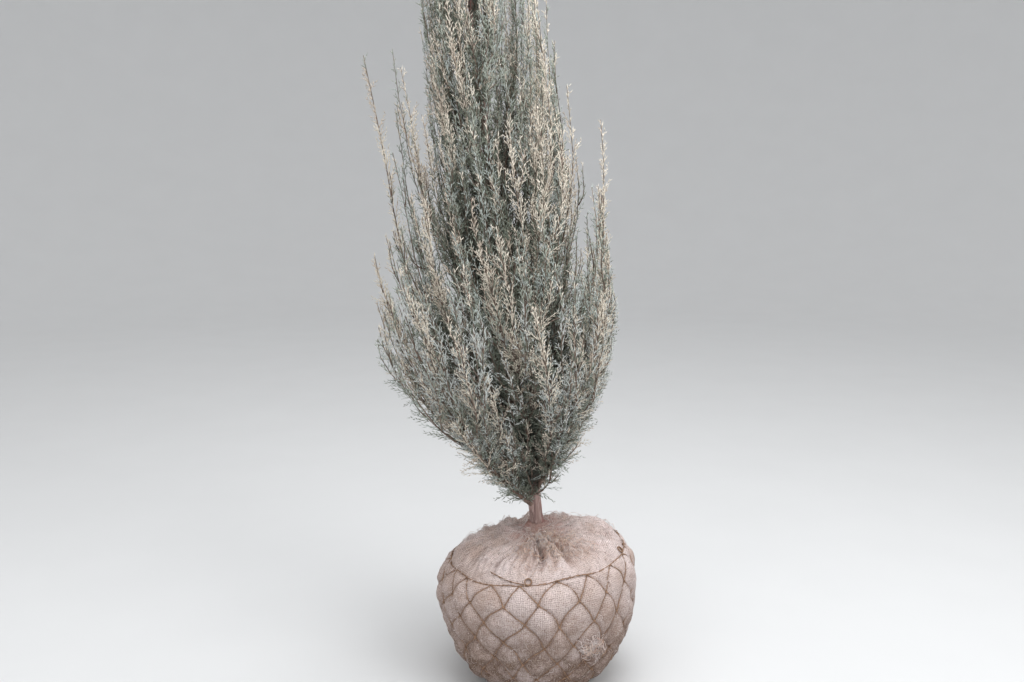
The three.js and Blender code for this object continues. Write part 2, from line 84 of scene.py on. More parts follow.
def ringsAt(circle, radii, heights):
    # the circle's points once for each radius and height, (rings, points, 3)
    return circle * radii[:, None, None] + [0, 0, 1] * heights[:, None, None]


def noise(points, seed):
    # value noise from -1 to 1: a hashed value at each corner of the unit cubes, blended smoothly
    cell = np.floor(points)
    part = points - cell
    part = part * part * (3 - 2 * part)
    total = np.zeros(points.shape[:-1])
    for corner in range(8):
        step = np.array([corner & 1, corner >> 1 & 1, corner >> 2 & 1])
        value = chance((cell + step) @ np.array([1.0, 57.0, 113.0]) + seed)
        total += np.prod(np.where(step, part, 1 - part), axis=-1) * value
    return 2 * total - 1


# Meshes

def placed(name, data):
    # an object of its own for the data, at the origin of the scene
    thing = bpy.data.objects.new(name, data)
    bpy.context.scene.collection.objects.link(thing)
    return thing


def makeMesh(name, points, faces, material):
    # faces holds one array for each number of corners
    mesh = bpy.data.meshes.new(name)
    mesh.vertices.add(len(points))
    mesh.vertices.foreach_set("co", np.ascontiguousarray(points, np.float32).ravel())
    corners = np.concatenate([group.ravel() for group in faces]).astype(np.int32)
    sizes = np.concatenate([np.full(len(group), group.shape[1]) for group in faces])
    starts = np.concatenate([[0], np.cumsum(sizes)[:-1]]).astype(np.int32)
    mesh.loops.add(len(corners))
    mesh.loops.foreach_set("vertex_index", corners)
    mesh.polygons.add(len(sizes))
    mesh.polygons.foreach_set("loop_start", starts)
    mesh.update(calc_edges=True)
    mesh.shade_smooth()
    mesh.materials.append(material)
    return mesh


def makePiece(name, points, faces, material, nodes=(), uv=None, soilAndShade=None):
    # uv is grouped as faces are, and the darkening by soil and painted shade has one value for each point
    mesh = makeMesh(name, points, faces, material)
    if uv is not None:
        layer = mesh.uv_layers.new(name="weave")
        layer.uv.foreach_set("vector", np.concatenate([group.ravel() for group in uv]).astype(np.float32))
    if soilAndShade is not None:
        mesh.attributes.new("soilAndShade", "FLOAT", "POINT").data.foreach_set("value", soilAndShade.astype(np.float32))
    piece = placed(name, mesh)
    if nodes:
        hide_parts(*nodes)
    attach(piece, "root")


def joined(parts):
    # several (points, faces) as one, each with its indices moved past those before it
    points = np.concatenate([part[0] for part in parts])
    counts = np.cumsum([0] + [len(part[0]) for part in parts])
    faces = [group + first for part, first in zip(parts, counts) for group in part[1] if len(group)]
    return points, faces


def ringFaces(rings, sides, closed=False):
    # quads between rings of points; unless the last ring meets the first, a second group closes either end
    # with a fan, and the two points of the fans come after the rings
    k = np.arange(sides)
    nextK = (k + 1) % sides
    low = np.arange(rings if closed else rings - 1)[:, None] * sides
    high = (low + sides) % (rings * sides)
    quads = np.stack([low + k, low + nextK, high + nextK, high + k], axis=-1).reshape(-1, 4)
    if closed:
        return [quads]
    top = (rings - 1) * sides
    foot = np.stack([nextK, k, np.full(sides, rings * sides)], axis=-1)
    tip = np.stack([top + k, top + nextK, np.full(sides, rings * sides + 1)], axis=-1)
    return [quads, np.concatenate([foot, tip])]


def gridSolid(ring, foot, tip):
    # a closed form from rings of points, (rings, sides, 3), with a point at either end
    return np.concatenate([ring.reshape(-1, 3), [foot, tip]]), ringFaces(*ring.shape[:2])


def tubes(centres, radii, sides, ends=None, along=None, closed=False):
    # rings of points round each path's centres, with a point at either end, or closed on itself
    # centres are (paths, rings, 3) and radii (paths, rings) or (paths, rings, sides)
    count, rings = centres.shape[:2]
    if along is None:
        wrap = np.concatenate([centres[:, -1:], centres, centres[:, :1]], axis=1)
        along = wrap[:, 2:] - wrap[:, :-2] if closed else np.gradient(centres, axis=1)
    along = unit(along)
    upright = np.abs(along[..., 2:]) > 0.8
    first = unit(np.cross(along, np.where(upright, [1.0, 0.0, 0.0], [0.0, 0.0, 1.0])))
    second = np.cross(along, first)
    turn = fullTurn(sides)[:, None]
    if radii.ndim == 2:
        radii = radii[..., None]
    spokes = np.cos(turn) * first[:, :, None] + np.sin(turn) * second[:, :, None]
    points = (centres[:, :, None] + radii[..., None] * spokes).reshape(count, -1, 3)
    if not closed:
        foot, tip = ends or (centres[:, 0], centres[:, -1])
        points = np.concatenate([points, foot[:, None], tip[:, None]], axis=1)
    offset = (np.arange(count) * points.shape[1])[:, None, None]
    faces = [(group + offset).reshape(-1, group.shape[1]) for group in ringFaces(rings, sides, closed)]
    return points.reshape(-1, 3), faces


def spindles(base, tip, radius, widest=0.38):
    # three-sided pods that swell from a point to their widest place and run out to a point
    centre = between(base, tip, widest)
    return tubes(centre[:, None], radius[:, None], 3, (base, tip), (tip - base)[:, None])


# Materials

def toLinear(color):
    # sRGB from 0 to 255 to the shader's own linear values; a socket stays as it is
    if isinstance(color, bpy.types.NodeSocket):
        return color
    share = np.array(color) / 255
    linear = np.where(share < 0.04045, share / 12.92, ((share + 0.055) / 1.055) ** 2.4)
    return (*linear, 1.0)


class Nodes:
    # short ways to place and link the nodes of one material
    def __init__(self, name, roughness, specular):
        self.material = bpy.data.materials.new(name)
        self.material.use_nodes = True
        self.tree = self.material.node_tree
        self.shader = self.tree.nodes["Principled BSDF"]
        self.shader.inputs["Roughness"].default_value = roughness
        self.shader.inputs["Specular IOR Level"].default_value = specular

    def feed(self, node, inputs):
        # an input that is given a socket is linked to it, and any other is set
        for key, value in inputs.items():
            if isinstance(value, bpy.types.NodeSocket):
                self.tree.links.new(value, node.inputs[key])
            else:
                node.inputs[key].default_value = value

    def add(self, kind, inputs, output=0, **settings):
        made = self.tree.nodes.new("ShaderNode" + kind)
        for key, value in settings.items():
            setattr(made, key, value)
        self.feed(made, inputs)
        return made.outputs[output]

    def math(self, operation, a, b=0.0, c=0.0):
        return self.add("Math", {0: a, 1: b, 2: c}, operation=operation)

    def vector(self, operation, a, b, output=0):
        # b is a factor for SCALE, and a vector for any other
        place = 3 if operation == "SCALE" else 1
        return self.add("VectorMath", {0: a, place: b}, output, operation=operation)

    def place(self, scale=(1, 1, 1)):
        return self.add("Mapping", {"Vector": self.add("TexCoord", {}, "Object"), "Scale": scale})

    def split(self, vector):
        made = self.tree.nodes.new("ShaderNodeSeparateXYZ")
        self.tree.links.new(vector, made.inputs[0])
        return made.outputs

    def noise(self, vector, scale, detail=3.0, roughness=0.5):
        inputs = {"Vector": vector, "Scale": scale, "Detail": detail, "Roughness": roughness}
        return self.add("TexNoise", inputs)

    def range(self, value, low, high, toLow=0.0, toHigh=1.0):
        return self.add("MapRange", {0: value, 1: low, 2: high, 3: toLow, 4: toHigh})

    def mix(self, factor, a, b):
        return self.add("Mix", {0: factor, 6: toLinear(a), 7: toLinear(b)}, 2, data_type="RGBA")

    def finish(self, color, height=None, distance=0.001, strength=1.0):
        self.feed(self.shader, {"Base Color": toLinear(color)})
        if height is not None:
            bump = self.add("Bump", {"Height": height, "Distance": distance, "Strength": strength})
            self.feed(self.shader, {"Normal": bump})
        return self.material


def burlapMaterial():
    # plain weave: warp and weft humps take turns on a grid of yarns, with uneven yarns, soil and worn colour,
    # and painted shade in the weave's low places, low down on the ball, beside the strands and in the creases
    # of the top
    values = {
        "pitch": 0.0044, "wobble": 1.6, "light": (242, 226, 225), "tan": (208, 185, 177), "low": (90, 63, 47),
        "gap": (107, 80, 65), "stain": (156, 126, 108), "soilAndShade": (108, 82, 67), "foot": (196, 152, 142),
        "worn": (238, 226, 214),
    }
    n = Nodes("burlapWeave", 0.95, 0.1)
    uv = n.add("UVMap", {}, uv_map="weave")
    cells = n.vector("SCALE", uv, 1 / values["pitch"])
    shift = n.vector("SCALE", n.noise(uv, 130, 2), values["wobble"])
    u, v, _ = n.split(n.vector("ADD", cells, shift))
    warp, weft = (n.math("ABSOLUTE", n.math("SINE", n.math("MULTIPLY", part, np.pi))) for part in (u, v))
    over = n.math("FLOORED_MODULO", n.math("ADD", n.math("FLOOR", u), n.math("FLOOR", v)), 2.0)
    warpHump, weftHump = (n.math("MULTIPLY", n.math("POWER", a, 0.6), n.math("MULTIPLY_ADD", b, 0.5, 0.5))
                          for a, b in ((warp, weft), (weft, warp)))
    weave = n.math("MULTIPLY_ADD", over, n.math("SUBTRACT", weftHump, warpHump), warpHump)
    place = n.place()
    patch = n.noise(place, 26, 5, 0.65)
    fine = n.noise(place, 420, 2)
    speck = n.noise(place, 170, 3, 0.7)
    height = n.split(place)[2]
    color = n.mix(n.range(n.noise(place, 9, 4, 0.6), 0.4, 0.64), values["light"], values["tan"])
    # darker and browner towards the bottom, in patches: painted shade low on the ball
    lowShade = n.math("MULTIPLY", n.range(height, 0.37, 0.12), n.range(patch, 0.34, 0.6, 0.5, 1.0))
    color = n.mix(lowShade, color, values["low"])
    # the weave's low places take the gap colour as painted shade between the yarns; the specks, stains and
    # worn yarns are the cloth's own
    for value, low, high, most, name in ((patch, 0.58, 0.76, 0.5, "stain"), (weave, 0.55, 0.15, 0.95, "gap"),
                                         (speck, 0.55, 0.68, 0.6, "gap"), (fine, 0.4, 0.75, 0.4, "worn")):
        color = n.mix(n.range(value, low, high, 0.0, most), color, values[name])
    # soil and painted shade as the mesh says, and a reddish tint round the trunk's foot
    soilAndShade = n.add("Attribute", {}, "Fac", attribute_name="soilAndShade")
    color = n.mix(n.math("MULTIPLY", soilAndShade, n.range(speck, 0.3, 0.7, 0.75, 1.0)), color, values["soilAndShade"])
    away = n.vector("LENGTH", n.vector("MULTIPLY", place, (1, 1, 0)), (0, 0, 0), "Value")
    near = n.math("MULTIPLY", n.range(away, 0.1, 0.03), n.range(height, 0.3, 0.34))
    color = n.mix(n.math("MULTIPLY", near, n.range(patch, 0.35, 0.6, 0.3, 0.9)), color, values["foot"])
    return n.finish(color, n.math("ADD", weave, n.math("MULTIPLY", fine, 0.6)), 0.001)


def wireMaterial():
    # two rusty browns that take turns with a noise, and a fine grain
    n = Nodes("rustyWire", 0.72, 0.35)
    place = n.place()
    rust = n.noise(place, 160, 4, 0.7)
    color = n.mix(n.range(rust, 0.4, 0.65), (124, 98, 80), (172, 140, 114))
    return n.finish(color, n.noise(place, 1400, 2), 0.0003)


def barkMaterial(name, dark, mid, light, red):
    # long fibres: noise drawn out along the height, with a second, finer one in its grooves
    n = Nodes(name, 0.9, 0.2)
    fibres = n.noise(n.place((1, 1, 0.09)), 260, 5, 0.7)
    shreds = n.noise(n.place((1, 1, 0.05)), 90, 3, 0.6)
    patches = n.noise(n.place(), 22, 3, 0.6)
    color = n.mix(n.range(shreds, 0.35, 0.65), dark, mid)
    color = n.mix(n.range(fibres, 0.52, 0.7), color, light)
    color = n.mix(n.range(patches, 0.5, 0.68, 0.0, 0.7), color, red)
    return n.finish(color, n.math("ADD", fibres, shreds), 0.0012)


def leafMaterial(name, color):
    # one plain colour for a kind of spray; only its scaly surface varies
    n = Nodes(name, 0.85, 0.15)
    return n.finish(color, n.noise(n.place(), 900, 1), 0.0003, 0.6)


# Trunk

trunkValues = {
    "foot": 0.38, "end": 1.99, "radius": 0.0165, "taper": 0.8, "taperPower": 1.4, "flare": 0.004,
    "flareHeight": 0.02, "lean": -0.13, "leanStart": 0.025, "sway": 0.004, "swayX": 0.18, "swayY": 0.26,
    "swayFrom": 0.2, "sides": 60, "rings": 620, "ringPower": 1.3,
    # relief, and how many of each fit in a metre, across and along
    "shred": 0.0017, "shreds": (210, 210, 17), "fineShare": 0.6, "fineShreds": (520, 520, 30),
    "lump": 0.0014, "lumps": (40, 40, 14), "collar": 0.0035, "collarWide": 0.011, "collarTall": 0.014,
    "collarRise": 0.006,
}


def trunkAxis(z):
    # a lean that sets in just above the foot, with two slow bends to either side
    v = trunkValues
    rise = np.maximum(z - v["foot"], 0)
    drift = rise - v["leanStart"] * (1 - np.exp(-rise / v["leanStart"]))
    bend = v["sway"] * smooth(0, v["swayFrom"], rise)
    x = v["lean"] * drift + bend * np.sin(rise / v["swayX"])
    return np.stack([x, bend * np.sin(rise / v["swayY"]), z], axis=-1)


def trunkRadius(z):
    # a power-law taper, and a flare that dies away above the foot
    v = trunkValues
    part = np.clip((z - v["foot"]) / (v["end"] - v["foot"]), 0, 1.2)
    flare = v["flare"] * np.exp(-(z - v["foot"]) / v["flareHeight"])
    return v["radius"] * (1 - v["taper"] * part ** v["taperPower"]) + flare


# The crown: the same rule as the solids'

crownRows = {
    # where a bough leaves the trunk decides how far out and how high its tips reach, and the lean to +X
    "foot": [0.43, 0.54, 0.62, 0.72, 0.9, 1.2, 1.5, 1.8, 2.08],
    "reach": [0.3, 0.272, 0.23, 0.162, 0.134, 0.116, 0.092, 0.06, 0.028],
    "top": [0.88, 1.09, 1.24, 1.4, 1.64, 1.9, 2.14, 2.33, 2.45],
    "right": [-0.12, -0.04, 0.14, 0.16, 0.13, 0.1, 0.05, 0, 0],
}
crownTiers = [
    # lowest and highest foot height of the cell, the bough's own, how many, first azimuth, shoots
    (0.4, 0.525, 0.464, 5, 18, 5),
    (0.525, 0.63, 0.578, 5, 54, 5),
    (0.63, 0.78, 0.7, 4, 20, 6),
    (0.78, 1.0, 0.88, 4, 70, 5),
    (1.0, 1.28, 1.12, 3, 28, 5),
    (1.28, 1.6, 1.42, 3, 80, 5),
    (1.6, 1.93, 1.75, 2, 10, 5),
]
crownStrays = [(176, 0.575, 1.68), (188, 0.645, 1.44), (350, 0.59, 1.36)]  # azimuth, foot height, end
crownValues = {
    "footStagger": 0.16, "flareOut": 0.15, "boughEnd": 0.2, "boughThickness": 0.36, "boughTaper": 0.7,
    "clearOfFlare": 0.06, "stemEnd": 0.5, "stemTip": 0.002,
    "fan": [0, -0.62, 0.62, -0.3, 0.3, 0.8], "depth": [0.5, 0.35, 0.7, 0.85, 0.15, 0.4],
    "fanJitter": 0.14, "depthJitter": 0.16, "step": 0.06, "sink": 0.03, "end": 0.86, "endRange": 0.2,
    "massSeed": 43, "rollRange": 130, "strayStart": 0.4, "straySeed": 700, "leaderWhips": 6,
    "leaderStart": 0.012, "leaderStep": 0.034, "leaderTurn": 2.4, "leaderRoll": 0.9, "leaderEnd": 0.8,
    "leaderTip": 0.06, "leaderSeed": 900,
}


def crownAt(foot, value):
    # straight from one row of the table to the next
    return np.interp(foot, crownRows["foot"], crownRows[value])


def spread(u):
    # share of the reach at part u of the way up: out first, then upright, then leaning out a little
    return np.where(u < 1, 1 - (1 - np.maximum(u, 0)) ** 2, 1 + crownValues["flareOut"] * (u - 1))


def reachAt(foot, azimuth):
    # the reach of a sheet, more or less to +X by the cosine of its azimuth
    return crownAt(foot, "reach") * (1 + crownAt(foot, "right") * np.cos(azimuth))


def flow(foot, azimuth, u):
    # a point of the crown: foot height on the trunk, azimuth, and part of the way to the tip
    z = foot + (crownAt(foot, "top") - foot) * u
    return trunkAxis(z) + (reachAt(foot, azimuth) * spread(u))[..., None] * onCircle(azimuth)


def growths():
    # every bough of every tier, with the cell of the crown that is its own
    found = []
    for tier, (low, high, foot, count, turn, shoots) in enumerate(crownTiers):
        for i in range(count):
            seed = len(found) + 1
            halfWidth = np.pi / count
            stagger = (0.5 if i % 2 == 0 else -0.5) + swing(0.6, seed)
            found.append({
                "seed": seed, "tier": tier, "low": low, "high": high, "shoots": shoots,
                "halfWidth": halfWidth, "azimuth": np.radians(turn) + 2 * halfWidth * i,
                "foot": foot + stagger * crownValues["footStagger"] * 2 * (high - low),
            })
    return found


def boughRadius(foot):
    # a share of the trunk's radius, taken clear of its flare
    return crownValues["boughThickness"] * trunkRadius(foot + crownValues["clearOfFlare"])


whipValues = {
    # by tier: finer shoots beside those of the solid, short low ones, and ones inside the boughs
    "more": (8, 8, 8, 7, 6, 5, 5), "moreStart": 0.12, "moreEnd": (0.5, 1.03), "moreLength": 0.25,
    "moreSeed": 3000, "aside": 1.9, "low": (22, 16, 10, 5, 2, 0, 0), "lowStart": (0.02, 0.3),
    "lowEnd": (0.12, 0.42), "lowAside": 0.7, "inBough": (5, 4, 2, 2, 2, 2, 2), "inBoughSeed": 77,
    "inBoughSpan": (0.04, 0.6), "inBoughSize": 1.6, "inBoughTurn": 1.7,
    # lesser ones that leave each shoot
    "side": 2, "sideFrom": (0.2, 0.8), "sideEnd": (0.09, 0.26), "sideLean": (0.15, 0.5), "sideSize": 0.75,
    "strawLean": 0.45, "likeParent": 0.85,
    # ones round the trunk's tip
    "leader": 10, "leaderSeed": 9100, "leaderFoot": (1.93, 2.2), "leaderEnd": (0.6, 1.0),
    # foot of the lowest sheet, and how much it rises to +X
    "lowest": 0.4725, "lowestRise": 0.0275,
    # more that stand out, as the strays
    "extra": [(181, 0.5, 1.13), (172, 0.445, 1.1), (200, 0.44, 1.04), (180, 0.62, 1.3), (187, 0.6, 1.2),
              (173, 0.64, 1.27), (193, 0.66, 1.33), (190, 0.435, 0.98), (163, 0.45, 0.95), (215, 0.43, 0.9),
              (322, 0.47, 0.93), (12, 0.5, 0.9), (2, 0.8, 1.24), (336, 0.84, 1.17), (22, 0.86, 1.16),
              (8, 0.93, 1.12), (352, 0.75, 1.2), (16, 0.745, 1.16), (330, 0.76, 1.14), (30, 0.72, 1.1),
              (348, 0.7, 1.16)],
    "straySize": 1.25, "anyRoll": 6, "wander": 0.006, "rings": 7, "baseRadius": 0.0017, "tipRadius": 0.0006,
}
closeValues = [
    # short shoots that leave the trunk itself: some rise close beside it, and at its foot some spread, whose
    # foot is given above the lowest sheet; the power draws them together low down
    {"count": 170, "seed": 8000, "first": 0, "lowest": 0, "foot": (0.45, 2.1), "power": 2.2,
     "rise": (0.03, 0.17), "turn": 0.8, "start": 0.02, "end": (0.07, 0.26), "size": 1.4},
    {"count": 34, "seed": 9500, "first": 0.5, "lowest": 1, "foot": (-0.012, 0.07), "power": 1.3,
     "rise": (-0.02, 0.03), "turn": 0.5, "start": 0.01, "end": (0.1, 0.26), "size": 1.7},
]


def whipList(masses):
    # one row for each shoot: where it leaves the stem, the sheet it grows into, and its seed
    v, w = crownValues, whipValues
    rows = []
    for mass in masses:
        own = mass["seed"] * v["massSeed"]
        stem = (mass["foot"], mass["azimuth"])
        cell = (mass["low"], mass["high"])
        for i in range(w["inBough"][mass["tier"]]):
            # inside the bough itself, so that their side shoots leave the bough
            seed = own + w["inBoughSeed"] + i
            rows.append((*stem, *stem, *w["inBoughSpan"], seed, w["inBoughTurn"] * i, w["inBoughSize"]))
        for i in range(mass["shoots"]):
            seed = own + i * 5
            fan = v["fan"][i] + swing(v["fanJitter"], seed + 2)
            depth = v["depth"][i] + swing(v["depthJitter"], seed + 3)
            start = v["stemEnd"] - v["sink"] if i == 0 else v["boughEnd"] - v["sink"] + v["step"] * i
            end = v["end"] + v["endRange"] * chance(seed + 1)
            azimuth = mass["azimuth"] + mass["halfWidth"] * fan
            foot = aboveLowest(between(*cell, depth), azimuth)
            roll = swing(np.radians(v["rollRange"]), seed + 4)
            rows.append((*stem, foot, azimuth, start, end, seed, roll, 1))
        for i, (azimuth, foot, end) in enumerate(crownStrays + w["extra"]):
            turn = np.angle(np.exp(1j * (np.radians(azimuth) - mass["azimuth"])))
            if abs(turn) < mass["halfWidth"] and mass["low"] < foot < mass["high"]:
                azimuth = mass["azimuth"] + turn
                seed = v["straySeed"] + i * 9
                rows.append((*stem, foot, azimuth, v["strayStart"], end, seed, 0.0, w["straySize"]))
        more = w["more"][mass["tier"]]
        for i in range(more + w["low"][mass["tier"]]):
            seed = w["moreSeed"] + own * 7 + i * 11
            aside = swing(w["aside"] * mass["halfWidth"], seed + 2)
            if i < more:
                start = drawn((w["moreStart"], v["stemEnd"]), seed + 4)
                end = max(drawn(w["moreEnd"], seed + 3), start + w["moreLength"])
            else:
                start = drawn(w["lowStart"], seed + 4)
                end = start + drawn(w["lowEnd"], seed + 3)
                aside = w["lowAside"] * aside
            azimuth = mass["azimuth"] + aside
            foot = aboveLowest(drawn(cell, seed + 1), azimuth)
            rows.append((*stem, foot, azimuth, start, end, seed, swing(w["anyRoll"], seed + 5), 1))
    return rows


def aboveLowest(foot, azimuth):
    # the lowest tier's sheets are drawn up so that none starts below the lowest one of its side
    low, high = crownTiers[0][:2]
    return foot if foot > high else between(lowestAt(azimuth), high, (foot - low) / (high - low))


def lowestAt(azimuth):
    # foot of the lowest sheet, which follows the cosine of the azimuth
    return whipValues["lowest"] + whipValues["lowestRise"] * np.cos(azimuth)


def closeWhips():
    # each leaves the trunk 2.4 radians on from the one before, for a sheet a little above or below
    rows = []
    for v in closeValues:
        for i in range(v["count"]):
            seed = v["seed"] + i * 7
            azimuth = 2.4 * i + v["first"]
            stem = v["lowest"] * lowestAt(azimuth) + drawn(v["foot"], seed + 1, v["power"])
            foot, aside = stem + drawn(v["rise"], seed + 2), azimuth + swing(v["turn"], seed + 3)
            end, roll = drawn(v["end"], seed + 4), swing(whipValues["anyRoll"], seed + 5)
            rows.append((stem, azimuth, foot, aside, v["start"], end, seed, roll, v["size"]))
    return rows


def leaderWhips():
    # shoots that leave the trunk's tip and grow on in their own sheets
    v, w = crownValues, whipValues
    rows = []
    for i in range(v["leaderWhips"]):
        seed = v["leaderSeed"] + i * 5
        stem = (trunkValues["end"] + v["leaderStart"] + i * v["leaderStep"], i * v["leaderTurn"])
        rows.append((*stem, *stem, 0.0, drawn((v["leaderEnd"], 1), seed), seed, i * v["leaderRoll"], 1))
    for i in range(w["leader"]):
        seed = w["leaderSeed"] + i * 5
        stem = (drawn(w["leaderFoot"], seed + 1), i * v["leaderTurn"] + 1)
        rows.append((*stem, *stem, 0.0, drawn(w["leaderEnd"], seed), seed, i, 1))
    return rows


def sideWhips(whip):
    # lesser shoots leave each shoot part of the way up, for a sheet and an azimuth a little off its own
    w = whipValues
    index, order = dealt(np.full(len(whip["seed"]), w["side"]))
    seed = whip["seed"][index] * 2.3 + 17.0 * order + 5
    parent = pick(whip, index)
    t = drawn(w["sideFrom"], seed)
    foot, azimuth = whipSheet(parent, t)
    start = between(parent["start"], parent["end"], t)
    end = np.minimum(start + drawn(w["sideEnd"], seed + 0.8), np.maximum(parent["end"], 1.02))
    aside = drawn(w["sideLean"], seed + 0.6) * (end - start) * (crownAt(foot, "top") - foot)
    aside = aside * np.where(parent["tone"] < sprayValues["strawTone"], w["strawLean"], 1)
    heading = 2 * np.pi * chance(seed + 0.3)
    ownTone = chance(seed + 0.5) >= w["likeParent"]
    return {
        "stemFoot": foot, "stemAzimuth": azimuth, "start": start, "end": end, "seed": seed,
        "foot": foot + 0.6 * aside * np.sin(heading),
        "azimuth": azimuth + aside * np.cos(heading) / (reachAt(foot, azimuth) * spread(end)),
        "roll": swing(w["anyRoll"], seed + 0.4), "shift": whipPoint(parent, t) - flow(foot, azimuth, start),
        "tone": np.where(ownTone, chance(seed + 0.1), parent["tone"]), "size": w["sideSize"] * parent["size"],
    }


def asColumns(rows):
    # one array for each value of the rows, with a hashed tone for each shoot
    names = ("stemFoot", "stemAzimuth", "foot", "azimuth", "start", "end", "seed", "roll", "size")
    table = {name: np.array(column, float) for name, column in zip(names, zip(*rows))}
    table["shift"] = np.zeros((len(rows), 3))
    table["tone"] = chance(table["seed"] * 2.7 + 5)
    return table


def pick(table, index):
    # the same rows of every column
    return {name: column[index] for name, column in table.items()}


def whipSheet(whip, t):
    # a shoot eases, as a cubic, from the stem's own sheet to its own
    turn = 1 - (1 - t) ** 3
    return between(whip["stemFoot"], whip["foot"], turn), between(whip["stemAzimuth"], whip["azimuth"], turn)


def whipPoint(whip, t):
    # along the shoot's sheets, from its start to its end, with a wander that dies away at both
    foot, azimuth = whipSheet(whip, t)
    point = flow(foot, azimuth, between(whip["start"], whip["end"], t))
    size = whipValues["wander"] * np.clip((whip["end"] - whip["start"]) / 0.5, 0, 1)
    size = size * np.clip(reachAt(foot, azimuth) / 0.15, 0.2, 1) * np.sin(np.pi * np.clip(t, 0, 1)) ** 0.5
    phase = whip["seed"] * 1.7
    wave = np.stack([np.sin(7 * t + phase), np.sin(8.3 * t + 2 * phase), 0 * (t + phase)], axis=-1)
    return point + whip["shift"] + size[..., None] * wave


def alongWhip(whip, t):
    # direction from a point just below to one just above
    return unit(whipPoint(whip, t + 0.01) - whipPoint(whip, t - 0.01))


# Side shoots and their branchlets

sprayValues = {
    "pitch": 0.0125, "strawPitch": 0.8, "strawSize": 1.22, "first": 0.03, "last": 0.985, "tip": 0.012,
    "most": 0.05, "fade": 0.1, "angle": (19, 42), "anglePower": 1.4, "uneven": (0.5, 1.4), "outward": 0.4,
    "curve": 0.45, "lowSize": 1.2, "highSize": 0.85, "lowAngle": 1.2, "wholeRoll": 0.9, "anyRoll": 2.6,
    # shoots whose tone is below this are straw-coloured
    "strawTone": 0.38,
    # branchlets
    "leafPitch": 0.0073, "leafLength": (0.009, 0.018), "leafAngle": (18, 38), "leafTilt": 1.6,
    "leafRadius": 0.00118, "stemRadius": 0.0011, "thick": (0.8, 1.2),
    # of the darkest sprays only a share is made, but for those low down
    "shadeShare": 0.5, "shadeAbove": 0.6, "pieceTriangles": 190000,
}


def dealt(counts):
    # for each child the index of its parent, and its own number among that parent's
    index = np.repeat(np.arange(len(counts)), counts)
    return index, np.arange(len(index)) - np.repeat(np.cumsum(counts) - counts, counts)


def whipLengths(whip):
    # sum of the straight steps between nine points
    t = np.linspace(0, 1, 9)[:, None]
    points = whipPoint(whip, t)
    return np.linalg.norm(np.diff(points, axis=0), axis=-1).sum(axis=0)


def spraysOf(whip):
    # side shoots at an even pitch up each shoot, by turns to either side; their length dies away at its tip
    v = sprayValues
    lengths = whipLengths(whip)
    pitch = v["pitch"] * np.where(whip["tone"] < v["strawTone"], v["strawPitch"], 1.0)
    counts = np.maximum(np.round(lengths / pitch), 3).astype(int)
    index, order = dealt(counts)
    seed = whip["seed"][index] * 3.1 + order * 1.37
    t = v["first"] + (v["last"] - v["first"]) * (order + 0.2 + 0.6 * chance(seed)) / counts[index]
    parent = pick(whip, index)
    base = whipPoint(parent, t)
    along = alongWhip(parent, t)
    out = onCircle(parent["azimuth"])
    sideways = unit(np.cross(along, out))
    outwards = np.cross(sideways, along)
    side = np.where(order % 2 == 0, 0, np.pi)
    roll = side + parent["roll"] * v["wholeRoll"] + swing(v["anyRoll"], seed + 0.3)
    away = np.cos(roll)[:, None] * sideways + np.sin(roll)[:, None] * outwards
    rest = (1 - t) * lengths[index]
    high = smooth(0.6, 1.3, base[:, 2])
    length = v["most"] * (1 - np.exp(-(rest + v["tip"]) / v["fade"])) * drawn(v["uneven"], seed + 0.6)
    length = length * parent["size"] ** 0.5 * np.where(parent["tone"] < v["strawTone"], v["strawSize"], 1)
    length = length * (1 - v["outward"] * np.clip((away * out).sum(axis=1), 0, 1))
    length = length * between(v["lowSize"], v["highSize"], high)
    angle = np.radians(drawn(v["angle"], seed + 0.9, v["anglePower"]) * between(v["lowAngle"], 1, high))
    angle = angle * np.clip(parent["size"], 1, 2) ** 0.6
    return {"base": base, "along": along, "away": away, "length": length, "angle": angle, "seed": seed,
            "t": t, "tone": parent["tone"]}


def sprayPoint(spray, s):
    # out from its shoot at its own angle, and less so further on, as a parabola
    turned = s - sprayValues["curve"] * s * s / 2
    out = (spray["length"] * np.sin(spray["angle"]) * turned)[..., None] * spray["away"]
    return spray["base"] + out + (spray["length"] * np.cos(spray["angle"]) * s)[..., None] * spray["along"]


def branchletsOf(spray):
    # scaly branchlets by turns to either side of a side shoot, in its own plane
    v = sprayValues
    counts = np.maximum(np.round(spray["length"] / v["leafPitch"]), 2).astype(int)
    index, order = dealt(counts)
    seed = spray["seed"][index] * 1.9 + order * 0.73
    parent = pick(spray, index)
    s = (order + 0.35 + swing(0.6, seed)) / counts[index]
    base = sprayPoint(parent, s)
    along = unit(sprayPoint(parent, s + 0.02) - sprayPoint(parent, s - 0.02))
    plane = unit(np.cross(parent["along"], parent["away"]))
    across = unit(np.cross(along, plane))
    side = np.where(order % 2 == 0, 1.0, -1.0)
    tilt = swing(v["leafTilt"], seed + 0.4)
    away = side[:, None] * across * np.cos(tilt)[:, None] + np.sin(tilt)[:, None] * plane
    angle = np.radians(drawn(v["leafAngle"], seed + 0.7))
    length = drawn(v["leafLength"], seed + 1.1) * (1.25 - 0.6 * s)
    tip = base + length[:, None] * (np.cos(angle)[:, None] * along + np.sin(angle)[:, None] * away)
    return index, base, tip


foliageKinds = {
    # plain colours, dealt out by spray
    "sage": (172, 178, 167), "glaucous": (184, 192, 187), "silver": (214, 218, 215), "straw": (236, 227, 212),
    "tan": (209, 196, 181), "olive": (139, 145, 132), "shade": (108, 112, 103),
}


def outerRadius(z):
    # distance from the trunk of the outermost sheet of growth at a height
    feet = np.linspace(0.43, 2.08, 34)
    u = (z[:, None] - feet) / (crownAt(feet, "top") - feet)
    reach = crownAt(feet, "reach") * spread(u)
    return np.where((u > 0) & (u < 1.03), reach, 0.01).max(axis=1)


